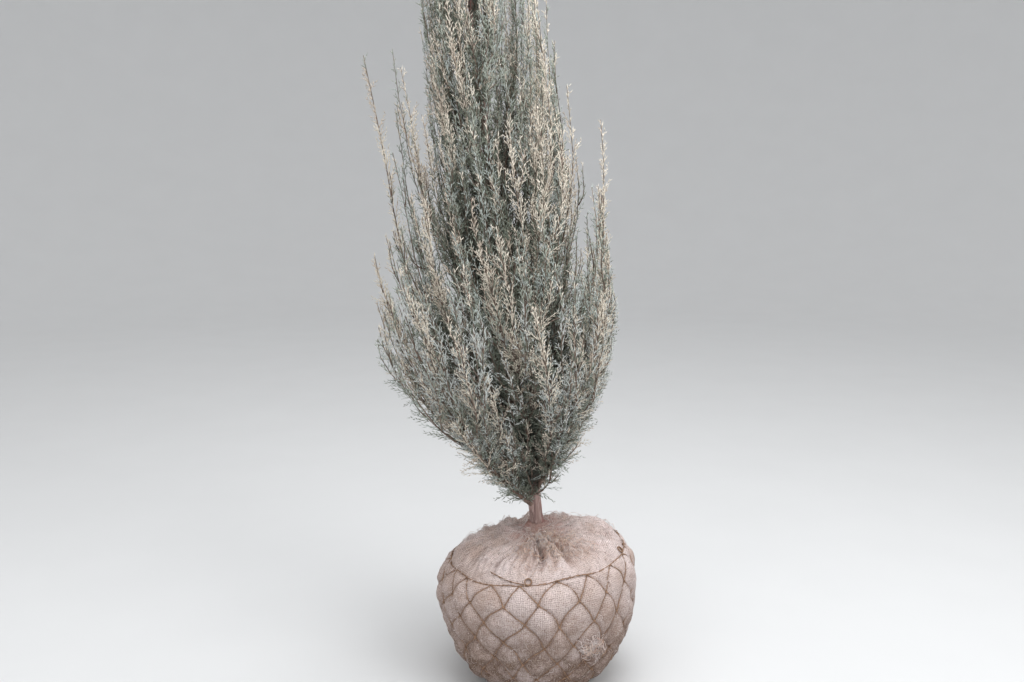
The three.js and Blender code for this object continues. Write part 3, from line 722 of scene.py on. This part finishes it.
def sprayKinds(spray):
    # most sprays take after their shoot's tone; those deep inside, or low on their shoot, are darker: painted
    # shade of the crown's inside, with its older inner foliage
    r = chance(spray["seed"] * 5.3 + 11)
    t, tone = spray["t"], spray["tone"]
    middle = sprayPoint(spray, np.full(len(r), 0.5))
    height = middle[:, 2]
    inner = np.linalg.norm((middle - trunkAxis(height))[:, :2], axis=1) / outerRadius(height)
    low = (height < 0.8 + 0.2 * tone) & (height > 0.52 + 0.2 * r)
    # straw-coloured shoots are commonest half way up the crown
    straw = 0.26 + 0.11 * smooth(0.7, 0.95, height) - 0.11 * smooth(1.35, 1.6, height)
    kind = np.where(r < 0.6, "sage", np.where(r < 0.85, "glaucous", "olive"))
    # each rule overrides those before it
    rules = [
        ((tone < straw) & (r < 0.95), np.where(r < 0.72, "straw", "tan")),
        ((tone > straw) & (tone < straw + 0.07) & (r < 0.85), "tan"),
        ((tone > 0.7) & (tone < 0.85) & (r < 0.75), "glaucous"),
        (low & (tone > 0.5) & (r < 0.75), "silver"),
        ((t > 0.85) & (tone > 0.42) & (r > 0.6), np.where(low, "silver", "straw")),
        # olive and shade low on the shoots and deep inside are painted shade
        ((inner < 0.66) & (r < 0.5) | (t < 0.16) & (r < 0.7), "olive"),
        (inner < 0.48, np.where(r < 0.75, "shade", "olive")),
    ]
    for chosen, name in rules:
        kind = np.where(chosen, name, kind)
    return kind


def massNodes(masses):
    # names of the solids that the foliage stands for
    return [f"foliage_{i + 1:02d}" for i in range(len(masses))] + ["foliage_leader"]


def makeFoliage(masses):
    # every shoot with its sprays, and the sprays of each colour joined into pieces of a bearable size
    v = sprayValues
    whips = asColumns(whipList(masses) + closeWhips() + leaderWhips())
    lesser = sideWhips(whips)
    whips = {name: np.concatenate([whips[name], lesser[name]]) for name in whips}
    sprays = spraysOf(whips)
    kinds = sprayKinds(sprays)
    seen = (kinds != "shade") | (chance(sprays["seed"] + 0.9) < v["shadeShare"])
    seen |= sprays["base"][:, 2] < v["shadeAbove"]
    sprays, kinds = pick(sprays, seen), kinds[seen]
    nodes = massNodes(masses)
    total = 0
    for kind, color in foliageKinds.items():
        own = pick(sprays, kinds == kind)
        index, base, tip = branchletsOf(own)
        radius = v["leafRadius"] * drawn(v["thick"], np.arange(len(index)) * 0.37)
        cost = 6 * (len(index) + len(own["t"]))
        pieces = int(np.ceil(cost / v["pieceTriangles"]))
        material = leafMaterial("leaf" + kind.capitalize(), color)
        cuts = np.linspace(0, len(own["t"]), pieces + 1).astype(int)
        for i in range(pieces):
            chosen = (index >= cuts[i]) & (index < cuts[i + 1])
            leaves = spindles(base[chosen], tip[chosen], radius[chosen])
            points, faces = joined([leaves, sprayStems(pick(own, slice(cuts[i], cuts[i + 1])))])
            makePiece(f"foliage_{kind}_{i + 1}", points, faces, material, nodes)
        total += cost
    print("foliage:", len(whips["seed"]), "shoots,", len(sprays["t"]), "sprays,", total, "triangles")
    makeTwigs(masses, whips)


def sprayStems(spray):
    # a spindle from each side shoot's base to its tip
    radius = sprayValues["stemRadius"] * drawn(sprayValues["thick"], spray["seed"] + 0.2)
    return spindles(spray["base"], sprayPoint(spray, np.ones(len(radius))), radius, 0.3)


def makeTwigs(masses, whips):
    # the shoots themselves, the masses' stems, which carry on from the boughs, and the trunk's own tip
    v, w = crownValues, whipValues
    t = np.linspace(0, 1, w["rings"])[:, None]
    centres = whipPoint(whips, t).swapaxes(0, 1)
    share = np.clip(reachAt(whips["foot"], whips["azimuth"]) / 0.2, 0.45, 1.2) * whips["size"] ** 0.5
    radii = share[:, None] * between(w["tipRadius"], w["baseRadius"], (1 - t.T) ** 1.2)
    parts = [tubes(centres, radii, 4)]
    foot, azimuth = (np.array([mass[key] for mass in masses]) for key in ("foot", "azimuth"))
    t = np.linspace(0, 1, 8)
    centres = flow(foot, azimuth, between(v["boughEnd"] - 0.01, v["stemEnd"], t)[:, None]).swapaxes(0, 1)
    radii = between(boughRadius(foot)[:, None] * v["boughTaper"], v["stemTip"], t)
    parts.append(tubes(centres, radii, 8))
    t = np.linspace(0, 1, 16)
    z = between(trunkValues["end"] - 0.004, crownRows["top"][-1] - v["leaderTip"], t)
    radii = between(trunkRadius(trunkValues["end"]), v["stemTip"], t)
    parts.append(tubes(trunkAxis(z)[None], radii[None], 8))
    points, faces = joined(parts)
    bark = barkMaterial("twigBark", (100, 90, 82), (138, 124, 112), (172, 159, 146), (134, 108, 97))
    makePiece("twigs", points, faces, bark, massNodes(masses))


def makeTrunk(masses):
    # radius by height, with long shreds of bark, slow lumps and a swelling where each bough leaves
    v = trunkValues
    heights = between(v["foot"], v["end"], np.linspace(0, 1, v["rings"]) ** v["ringPower"])
    z, angle = np.meshgrid(heights, fullTurn(v["sides"]), indexing="ij")
    radius = trunkRadius(z)
    tall = onCircle(angle) * radius[..., None] + [0, 0, 1] * z[..., None]
    coarse, lumps, fine = (noise(tall * v[key], seed) for key, seed in
                           (("shreds", 3), ("lumps", 5), ("fineShreds", 8)))
    shreds = 1 - np.abs(coarse) - v["fineShare"] * np.abs(fine)
    relief = (v["shred"] * (shreds - 0.5) + v["lump"] * lumps) * np.sqrt(radius / v["radius"])
    for mass in masses:
        turn = np.angle(np.exp(1j * (angle - mass["azimuth"]))) * radius
        rise = z - mass["foot"] - v["collarRise"]
        near = np.exp(-(turn / v["collarWide"]) ** 2 - (rise / v["collarTall"]) ** 2)
        relief = relief + v["collar"] * near * radius / v["radius"]
    ring = trunkAxis(z) + onCircle(angle) * (radius + relief)[..., None]
    points, faces = gridSolid(ring, trunkAxis(heights[0]), trunkAxis(heights[-1]))
    bark = barkMaterial("trunkBark", (122, 98, 94), (180, 153, 147), (212, 192, 184), (186, 136, 130))
    makePiece("trunk_bark", points, faces, bark, ["trunk"])


boughValues = {"sides": 14, "rings": 34, "shred": 0.0006}


def makeBoughs(masses):
    # each bough tapers along its sheet of the crown, from inside the trunk to where its foliage starts
    v = boughValues
    bark = barkMaterial("boughBark", (100, 82, 74), (146, 126, 114), (178, 160, 148), (146, 108, 96))
    t = np.linspace(0, 1, v["rings"])
    spot = ringsAt(onCircle(fullTurn(v["sides"])), np.full(len(t), 3), 5 * t)
    for mass in masses:
        centres = flow(mass["foot"], mass["azimuth"], t * crownValues["boughEnd"])
        radius = boughRadius(mass["foot"]) * (1 - (1 - crownValues["boughTaper"]) * t)
        radii = radius[:, None] + v["shred"] * noise(spot, mass["seed"] * 7.0)
        points, faces = tubes(centres[None], radii[None], v["sides"])
        number = f"{mass['seed']:02d}"
        makePiece("bough_bark_" + number, points, faces, bark, ["bough_" + number])


# Root ball

ballValues = {
    "profile": [(0.1, 0), (0.15, 0.016), (0.2, 0.07), (0.234, 0.145), (0.249, 0.222), (0.244, 0.29),
                (0.214, 0.335), (0.16, 0.362), (0.095, 0.376), (0.045, 0.386), (0.03, 0.398)],
    "tilt": 0.1, "tiltFrom": 0.15, "tiltTo": 0.33, "sides": 384, "steps": 260, "meanRadius": 0.25,
    "floor": (0.012, 0.094, 6), "neck": [(0.0212, 0.4055), (0.0192, 0.4045), (0.013, 0.402), (0.012, 0.392)],
    # the net's meshes, and the waves that pull it: size, how many round the ball, phase, and shift by row
    "columns": 36, "rimArc": 0.402, "row": 0.052, "rows": 7, "arch": (0.15, 0.05),
    "asideWaves": [(0.17, 3, 1, 0.8), (0.13, 8, 2.1, -1.4)],
    "downWaves": [(0.12, 4, 0.5, 0.9), (0.1, 9, 0, 1.7)],
    # relief of the cloth; wrinkles and lumps by how many fit in a metre
    "quiltOut": 0.0062, "quiltIn": 0.004, "pillowPower": 0.6, "fold": 0.024, "foldCount": 15,
    "wrinkle": 0.0022, "wrinkles": (60, 60, 34), "fineWrinkles": (150, 150, 90), "lump": 0.004, "lumps": 13,
    # azimuth, radius and height of each tuft on the top, and how wide they are
    "tufts": [(185, 0.08, 0.02), (5, 0.1, 0.022), (60, 0.06, 0.014)], "tuftWidth": 0.03,
    # the torn spot: its azimuth and arc, and how far it reaches along either
    "tornAzimuth": 302, "tornArc": 0.19, "tornTurn": 0.1, "tornSpan": 0.026, "mostSoilAndShade": 0.85,
}


def splineThrough(points, steps):
    # uniform Catmull-Rom curve with its end points doubled, as a dense line, and the distance along it
    p = np.concatenate([points[:1], points, points[-1:]])
    t = np.linspace(0, 1, steps, endpoint=False)[None, :, None]
    a, b, c, d = (p[i:len(p) - 3 + i][:, None] for i in range(4))
    inTangent, outTangent = (c - a) / 2, (d - b) / 2
    curve = (2 * b - 2 * c + inTangent + outTangent) * t ** 3
    curve = curve + (3 * c - 3 * b - 2 * inTangent - outTangent) * t ** 2 + inTangent * t + b
    line = np.concatenate([curve.reshape(-1, 2), points[-1:]])
    arc = np.concatenate([[0], np.cumsum(np.linalg.norm(np.diff(line, axis=0), axis=1))])
    return line, arc


ballLine, ballArc = splineThrough(np.array(ballValues["profile"]), 60)
ballAlong = unit(np.gradient(ballLine, axis=0))


def ballPoint(arc, azimuth, out):
    # out from the profile along its normal, turned round the axis, with a top that rises to +X
    v = ballValues
    at = [np.interp(arc, ballArc, column) for column in (*ballLine.T, *ballAlong.T)]
    radius = at[0] + out * at[3]
    height = at[1] - out * at[2]
    x, y = radius * np.cos(azimuth), radius * np.sin(azimuth)
    return np.stack([x, y, height + v["tilt"] * x * smooth(v["tiltFrom"], v["tiltTo"], height)], axis=-1)


def waves(rows, turn, row):
    # sum of sines round the ball, each shifted on from row to row
    return sum(size * np.sin(count * turn + phase + perRow * row) for size, count, phase, perRow in rows)


def netWarp(column, row):
    # how far the net is pulled aside, in columns and in rows: waves that close round the ball, and between
    # two rows of knots an arch, as the strands leave each knot sideways and then drop
    v = ballValues
    turn = 2 * np.pi * column / v["columns"]
    hold = 0.45 + 0.55 * np.sin(np.pi * np.clip(row / v["rows"], 0, 1))
    arch = between(*v["arch"], np.clip(row / 4, 0, 1)) * np.abs(np.sin(np.pi * row)) * (row > 0)
    return waves(v["asideWaves"], turn, row), waves(v["downWaves"], turn, row) * hold + arch


def netPlace(arc, azimuth):
    # column and row of the net at a place on the cloth
    v = ballValues
    column = azimuth * v["columns"] / (2 * np.pi)
    row = (v["rimArc"] - arc) / v["row"]
    aside, down = netWarp(column, row)
    return column + aside, row + down


def clothPlace(column, row):
    # the other way round, by a few rounds of correction: arc and azimuth of a place on the net
    v = ballValues
    c, r = column, row
    for _ in range(14):
        aside, down = netWarp(c, r)
        c, r = column - aside, row - down
    return v["rimArc"] - r * v["row"], c * 2 * np.pi / v["columns"]


def strandNear(column, row):
    # 1 on the nearest strand of the net, falling to 0 about a tenth of a mesh away
    a, b = (column + row) / 2, (column - row) / 2
    away = np.minimum(np.abs(a - np.round(a)), np.abs(b - np.round(b)))
    return smooth(0.1, 0.02, away)


def topFolds(arc, azimuth):
    # gathers that run from the trunk to the rim and swing aside on the way: rounded ridges with sharp creases
    v = ballValues
    above = np.maximum(arc - v["rimArc"], 0)
    sweep = azimuth + 2.2 * above * np.sin(azimuth + 2) + 0.09 * np.sin(3 * azimuth + 30 * above)
    wide = np.abs(np.sin(v["foldCount"] / 2 * sweep + 1.1 * np.sin(2 * azimuth + 1))) ** 0.75
    narrow = np.abs(np.sin(v["foldCount"] * 1.5 * sweep + 1.7 * np.sin(3 * azimuth) + 9 * above)) ** 0.8
    return above, wide, narrow


def clothOut(arc, azimuth):
    # pillows between the strands, gathered folds above the rim, and wrinkles and lumps over both
    v = ballValues
    column, row = netPlace(arc, azimuth)
    a, b = (column + row) / 2, (column - row) / 2
    whole = v["columns"] // 2
    cell = np.mod(np.floor(a), whole) * 7.3 + np.mod(np.floor(b), whole) * 3.1
    pillow = (np.abs(np.sin(np.pi * a)) * np.abs(np.sin(np.pi * b))) ** v["pillowPower"]
    pillow = pillow * smooth(0, 0.3, np.abs(row)) * smooth(0, 0.3, np.abs(row - v["rows"]))
    inNet = smooth(-0.05, 0.05, row) * smooth(v["rows"] + 0.4, v["rows"], row)
    quilt = (pillow * (0.7 + 0.6 * chance(cell)) * (v["quiltOut"] + v["quiltIn"]) - v["quiltIn"]) * inNet
    above, wide, narrow = topFolds(arc, azimuth)
    size = smooth(0.0, 0.06, above) * (0.55 + 0.45 * np.sin(2 * azimuth + 1.2) ** 2)
    size = size * np.clip((ballArc[-1] - arc) / 0.12, 0.25, 1)
    folds = size * v["fold"] * (wide + 0.6 * narrow - 1.0)
    folds = folds - v["quiltIn"] * smooth(0.03, 0.0, above) * (row <= 0)
    place = ballPoint(arc, azimuth, 0.0)
    wrinkles = noise(place * v["wrinkles"], 2) + 0.5 * noise(place * v["fineWrinkles"], 9)
    lumps = noise(place * v["lumps"], 4)
    tufts = 0.0
    for degrees, radius, height in v["tufts"]:
        away = (place - onCircle(np.radians(degrees)) * radius)[..., :2] / v["tuftWidth"]
        tufts = tufts + height * np.exp(-(away ** 2).sum(axis=-1)) * (above > 0)
    low = smooth(0, 0.05, arc)
    neck = smooth(0.0, 0.03, ballArc[-1] - arc)
    wrinkles = v["wrinkle"] * wrinkles * (0.4 + 0.6 * neck)
    return (quilt + (folds + tufts) * neck + wrinkles + v["lump"] * lumps * neck) * low


def clothSoilAndShade(arc, azimuth):
    # darkening by soil and painted shade: soil with painted shade in the grooves under the strands, painted
    # shade in the creases of the top, soil in patches low down, and darker round the torn spot
    v = ballValues
    column, row = netPlace(arc, azimuth)
    inNet = smooth(-0.1, 0.1, row) * smooth(v["rows"] + 0.1, v["rows"] - 0.1, row)
    above, wide, narrow = topFolds(arc, azimuth)
    place = ballPoint(arc, azimuth, 0.0)
    patches = smooth(0.25, 0.7, noise(place * 30, 12)) * smooth(0.2, 0.05, place[..., 2])
    # painted shade in the creases of the top's folds
    creases = smooth(0.35, 0.05, wide) + 0.5 * smooth(0.3, 0.05, narrow)
    creases = creases * smooth(0.02, 0.06, above) * (0.5 + 0.5 * noise(place * 40, 7))
    aside = (azimuth - np.radians(v["tornAzimuth"])) / v["tornTurn"]
    torn = np.exp(-aside ** 2 - ((arc - v["tornArc"]) / v["tornSpan"]) ** 2)
    soilAndShade = 0.4 * strandNear(column, row) * inNet + 0.8 * creases + 0.5 * patches + 0.7 * torn
    return np.clip(soilAndShade, 0, v["mostSoilAndShade"])


def onCloth(arc, azimuth, lift):
    # on the quilted and folded cloth, and out from it by lift
    return ballPoint(arc, azimuth, clothOut(arc, azimuth) + lift)


def clothNormal(arc, azimuth):
    # direction between two points of one profile's normal
    return unit(ballPoint(arc, azimuth, 0.1) - ballPoint(arc, azimuth, 0.0))


def makeBall():
    # the cloth's rings from a flat floor up to the neck, which gathers round the trunk
    v = ballValues
    azimuth = fullTurn(v["sides"])
    circle = onCircle(azimuth)
    arc = np.linspace(0, ballArc[-1], v["steps"])
    arcs, azimuths = np.meshgrid(arc, azimuth, indexing="ij")
    grid = onCloth(arcs, azimuths, 0)
    underside = np.linspace(*v["floor"])
    floor = ringsAt(circle, underside, 0 * underside)
    radii, heights = np.array(v["neck"]).T
    gathers = 1 + 0.07 * np.cos(9 * azimuth + 1) + 0.04 * np.cos(16 * azimuth)
    collar = ringsAt(circle * gathers[:, None], radii, heights)
    collar[:, :, 0] += trunkAxis(heights)[:, :1]
    grid[-1] = between(grid[-1], collar[0], 0.6)
    grid[-2] = between(grid[-2], collar[0], 0.25)
    ring = np.concatenate([floor, grid, collar])
    points, faces = gridSolid(ring, np.zeros(3), collar[-1].mean(axis=0))
    soilAndShade = np.zeros(len(points))
    soilAndShade[floor.size // 3:][:grid.size // 3] = clothSoilAndShade(arcs, azimuths).ravel()
    rowV = np.concatenate([underside - 0.1, arc, arc[-1] + 0.006 * np.arange(1, len(radii) + 1)])
    uv = gridUV(rowV, v["sides"], v["meanRadius"])
    makePiece("burlap", points, faces, burlapMaterial(), ["root_ball"], uv, soilAndShade)
    print("burlap:", len(points), "points")


def gridUV(rowV, sides, radius):
    # a map in metres: round the ball at a mean radius, and along the rows; the seam runs on, not back
    u = 2 * np.pi * radius * np.arange(sides + 1) / sides
    grid = np.stack(np.meshgrid(u, rowV), axis=-1)
    quads = np.stack([grid[:-1, :-1], grid[:-1, 1:], grid[1:, 1:], grid[1:, :-1]], axis=2)
    foot = np.stack([grid[0, 1:], grid[0, :-1], grid[0, :-1] - [0, 0.01]], axis=1)
    tip = np.stack([grid[-1, :-1], grid[-1, 1:], grid[-1, :-1] + [0, 0.01]], axis=1)
    return [quads.reshape(-1, 4, 2), np.concatenate([foot, tip])]


# Net

netValues = {
    "wire": 0.0014, "lobe": 0.3, "twistPitch": 0.016, "steps": 210, "sides": 6, "seat": 0.0013,
    "rimSteps": 720, "rimSeat": 0.0024, "loops": (-97, -18), "loopRadius": 0.008, "loopWire": 0.0016,
    "loopSeat": 0.003, "knotRadius": 0.0024,
    # a thin line beside the rim: first and last azimuth, how far it starts above the rim and rises from there
    "line": (-97, -126), "lineStart": 0.002, "lineRise": 0.027, "lineWire": 0.8,
}


def twisted(arcs, azimuths, wire, seat, closed=False):
    # two thin wires laid round each other: a section with two lobes that turns along the path
    v = netValues
    centres = onCloth(arcs, azimuths, seat)
    steps = np.linalg.norm(np.diff(centres, axis=1), axis=-1)
    length = np.concatenate([np.zeros((len(centres), 1)), np.cumsum(steps, axis=1)], axis=1)
    phase = 2 * np.pi * length[..., None] / v["twistPitch"]
    radii = wire * (1 + v["lobe"] * np.cos(2 * fullTurn(v["sides"]) - phase))
    return tubes(centres, radii, v["sides"], closed=closed)


def netRings(centres, normals, radius, wire, steps, sides, turns=1):
    # a closed ring of wire round each centre, or one of several turns laid side by side
    first = unit(np.cross(normals, [0.0, 0.0, 1.0]))[:, None]
    second = np.cross(normals[:, None], first)
    a = (2 * np.pi * turns * np.arange(steps * turns) / (steps * turns))[:, None]
    offset = 0.6 * wire * np.sin(a / turns) * normals[:, None]
    path = centres[:, None] + radius * (np.cos(a) * first + np.sin(a) * second) + offset
    return tubes(path, np.full(path.shape[:2], wire), sides, closed=True)


def makeNet():
    # strands that cross at the knots, the rim and the lower draw line, the thin line, the knots, the loops
    v, b = netValues, ballValues
    row = np.linspace(0, b["rows"], v["steps"])[None]
    first = 2 * np.arange(b["columns"] // 2)[:, None]
    parts = []
    for lean in (1, -1):
        parts.append(twisted(*clothPlace(first + lean * row, row), v["wire"], v["seat"]))
    column = (b["columns"] * np.arange(v["rimSteps"]) / v["rimSteps"])[None]
    for level in (0, b["rows"]):
        parts.append(twisted(*clothPlace(column, level), v["wire"], v["rimSeat"], closed=True))
    t = np.linspace(0, 1, 60)[None]
    arcs = b["rimArc"] + v["lineStart"] + v["lineRise"] * t ** 1.3
    parts.append(twisted(arcs, np.radians(between(*v["line"], t)), v["wire"] * v["lineWire"], v["rimSeat"]))
    level = np.repeat(np.arange(b["rows"] + 1.0), b["columns"] // 2)
    column = 2 * (np.arange(len(level)) % (b["columns"] // 2)) + level % 2
    arcs, azimuths = clothPlace(column, level)
    up = unit(ballPoint(arcs + 0.01, azimuths, 0.0) - ballPoint(arcs - 0.01, azimuths, 0.0))
    parts.append(netRings(onCloth(arcs, azimuths, v["seat"]), up, v["knotRadius"], v["wire"], 9, 5))
    azimuths = np.radians(v["loops"])
    arcs = np.full(len(azimuths), b["rimArc"] + v["loopRadius"])
    centres = onCloth(arcs, azimuths, v["loopSeat"])
    normals = clothNormal(arcs, azimuths)
    parts.append(netRings(centres, normals, v["loopRadius"], v["loopWire"], 26, 8, 2))
    points, faces = joined(parts)
    makePiece("wire_net", points, faces, wireMaterial(), ["net"])
    print("net:", len(points), "points")


# Loose fibres of the burlap

fibreValues = {"radius": 0.00055, "fuzz": 2600, "fuzzRadius": 0.0003, "rings": 8}


def clothFibres(count, seed, arcs, azimuths, lengths, lift, curl, patch=False, combed=0.0, size=1.0):
    # each fibre wanders over the cloth in a curve and stands off it in a low arch; a patch thins out at its
    # rim, and combed ones keep near the way down from the trunk
    v = fibreValues
    k = np.arange(count) * 1.31 + seed
    spot = [chance(k), chance(k + 0.17)]
    if patch:
        spot = [(a + chance(k + b) + chance(k + 2 * b)) / 3 for a, b in zip(spot, (0.83, 0.91))]
    length = drawn(lengths, k + 0.31, 1.5)
    heading = 2 * np.pi * chance(k + 0.47)
    heading = between(heading, np.pi * (1 + np.round(heading / np.pi)), combed)
    bend = swing(curl, k + 0.59)
    t = np.linspace(0, 1, v["rings"])[None]
    angle = heading[:, None] + bend[:, None] * t + 1.2 * (1 - 0.8 * combed) * np.sin(6 * t + k[:, None])
    step = length[:, None] / (v["rings"] - 1)
    down = between(*arcs, spot[0])[:, None] + np.cumsum(np.cos(angle), axis=1) * step
    down = np.minimum(down, ballArc[-1] - 0.002)
    around = np.cumsum(np.sin(angle), axis=1) * step
    radii = np.maximum(np.interp(down, ballArc, ballLine[:, 0]), 0.03)
    turn = between(*np.radians(azimuths), spot[1])[:, None] + around / radii
    high = lift * chance(k + 0.71)[:, None] * np.sin(np.pi * (0.1 + 0.8 * t))
    thick = v["radius"] * size
    centres = onCloth(down, turn, thick + high)
    return tubes(centres, np.full(centres.shape[:2], thick), 3)


def clothFuzz(count, seed, arcs, azimuths, lengths):
    # short hairs that stand off the cloth and lean any way
    k = np.arange(count) * 0.77 + seed
    arc = drawn(arcs, k)
    azimuth = drawn(np.radians(azimuths), k + 0.17)
    base = onCloth(arc, azimuth, -0.0005)
    lean = onCircle(2 * np.pi * chance(k + 0.3)) + swing(2, k + 0.5)[:, None] * [0, 0, 1]
    tip = base + drawn(lengths, k + 0.9, 2)[:, None] * unit(clothNormal(arc, azimuth) + 0.9 * lean)
    return spindles(base, tip, np.full(count, fibreValues["fuzzRadius"]), 0.3)


def towMaterial(name, dark, light):
    # two straw colours that take turns with a noise, and a fine grain
    n = Nodes(name, 0.9, 0.15)
    place = n.place()
    color = n.mix(n.range(n.noise(place, 60, 2), 0.4, 0.6), dark, light)
    return n.finish(color, n.noise(place, 900, 1), 0.0003)


def makeFibres():
    # over the whole ball, in a patch at the foot of the trunk, and at the torn spot low on the right
    fuzz = fibreValues["fuzz"]
    top = ballArc[-1]
    low = np.interp(0.15, ballLine[:, 1], ballArc)
    pale = [
        clothFibres(260, 57, (top - 0.2, top - 0.01), (-180, 180), (0.02, 0.07), 0.01, 3),
        clothFibres(150, 71, (top - 0.17, top - 0.04), (-180, 180), (0.04, 0.1), 0.002, 1, combed=0.9),
        clothFibres(120, 23, (top - 0.15, top - 0.01), (-110, -60), (0.02, 0.05), 0.016, 6, True),
        clothFibres(260, 91, (0.03, 0.42), (0, 360), (0.008, 0.03), 0.003, 5, size=0.7),
        clothFibres(100, 19, (low - 0.005, low + 0.035), (-65, -52), (0.02, 0.045), 0.012, 4, True),
        clothFuzz(fuzz, 5, (0.08, 0.44), (0, 360), (0.003, 0.009)),
        clothFuzz(fuzz // 3, 33, (0.4, top - 0.01), (0, 360), (0.004, 0.016)),
    ]
    brown = [
        clothFibres(330, 11, (top - 0.18, top), (-128, -30), (0.015, 0.06), 0.014, 4, True),
        clothFibres(70, 29, (low, low + 0.03), (-64, -53), (0.015, 0.04), 0.016, 6, True),
    ]
    for name, parts, dark, light in (("tow_pale", pale, (224, 208, 203), (247, 237, 234)),
                                     ("tow_brown", brown, (208, 176, 162), (241, 219, 204))):
        points, faces = joined(parts)
        makePiece(name, points, faces, towMaterial(name, dark, light))
        print(name + ":", len(points), "points")


# Stage

stageValues = {
    "lens": 34.1, "sensor": 36, "farClip": 60, "camera": (-0.064, -2.36, 1.25), "pitch": 80.8,
    "lights": [
        # name, place, turn in degrees, size, power, colour
        ("sky", (0.3, -0.8, 4.2), (0, 0, 0), 3.0, 108, (0.98, 0.99, 1.0)),
        ("front", (-2.6, -3.2, 2.6), (62, 0, -38), 3.0, 18, (1.0, 0.98, 0.96)),
        ("right", (2.6, -2.6, 3.4), (52, 0, 45), 2.2, 50, (1.0, 0.99, 0.98)),
    ],
    "world": (0.93, 0.93, 0.93, 1), "worldStrength": 0.88,
    # radius of the flat floor, radius of the bend up into the wall, and the wall's height
    "flat": 7.0, "bend": 5.0, "wall": 9.0, "sides": 96,
}


def makeStage():
    # camera, area lights, an even sky and a pale floor
    v = stageValues
    camera = placed("camera", bpy.data.cameras.new("camera"))
    camera.data.lens = v["lens"]
    camera.data.sensor_width = v["sensor"]
    camera.data.clip_end = v["farClip"]
    camera.location = v["camera"]
    camera.rotation_euler = (np.radians(v["pitch"]), 0, 0)
    bpy.context.scene.camera = camera
    for name, place, turn, size, power, color in v["lights"]:
        light = placed(name, bpy.data.lights.new(name, "AREA"))
        light.data.shape = "DISK"
        light.data.size = size
        light.data.energy = power
        light.data.color = color
        light.location = place
        light.rotation_euler = np.radians(turn)
    world = bpy.data.worlds.new("studio")
    world.use_nodes = True
    world.node_tree.nodes["Background"].inputs["Color"].default_value = v["world"]
    world.node_tree.nodes["Background"].inputs["Strength"].default_value = v["worldStrength"]
    bpy.context.scene.world = world
    bpy.context.scene.view_settings.view_transform = "Standard"
    # the floor runs up into a round wall, along a quarter of a circle, so that no horizon shows
    a = np.linspace(0, np.pi / 2, 20)[1:]
    radii = np.concatenate([np.linspace(0.5, v["flat"], 8), v["flat"] + v["bend"] * np.sin(a),
                            [v["flat"] + v["bend"]]])
    heights = np.concatenate([np.zeros(8), v["bend"] * (1 - np.cos(a)), [v["wall"]]])
    ring = ringsAt(onCircle(fullTurn(v["sides"])), radii, heights)
    quads, ends = ringFaces(*ring.shape[:2])
    # turned over to face up and inwards, with a fan at the middle only
    faces = [quads[:, ::-1], ends[:v["sides"], ::-1]]
    n = Nodes("paleFloor", 0.9, 0.2)
    pale = n.finish(n.mix(n.noise(n.place(), 3, 2), (217, 218, 219), (221, 222, 223)))
    slab = placed("floor", makeMesh("floor", np.append(ring, np.zeros(3)).reshape(-1, 3), faces, pale))


makeStage()
print("stage made")
tree = growths()
makeTrunk(tree)
makeBoughs(tree)
print("trunk and boughs made")
makeBall()
makeNet()
makeFibres()
makeFoliage(tree)
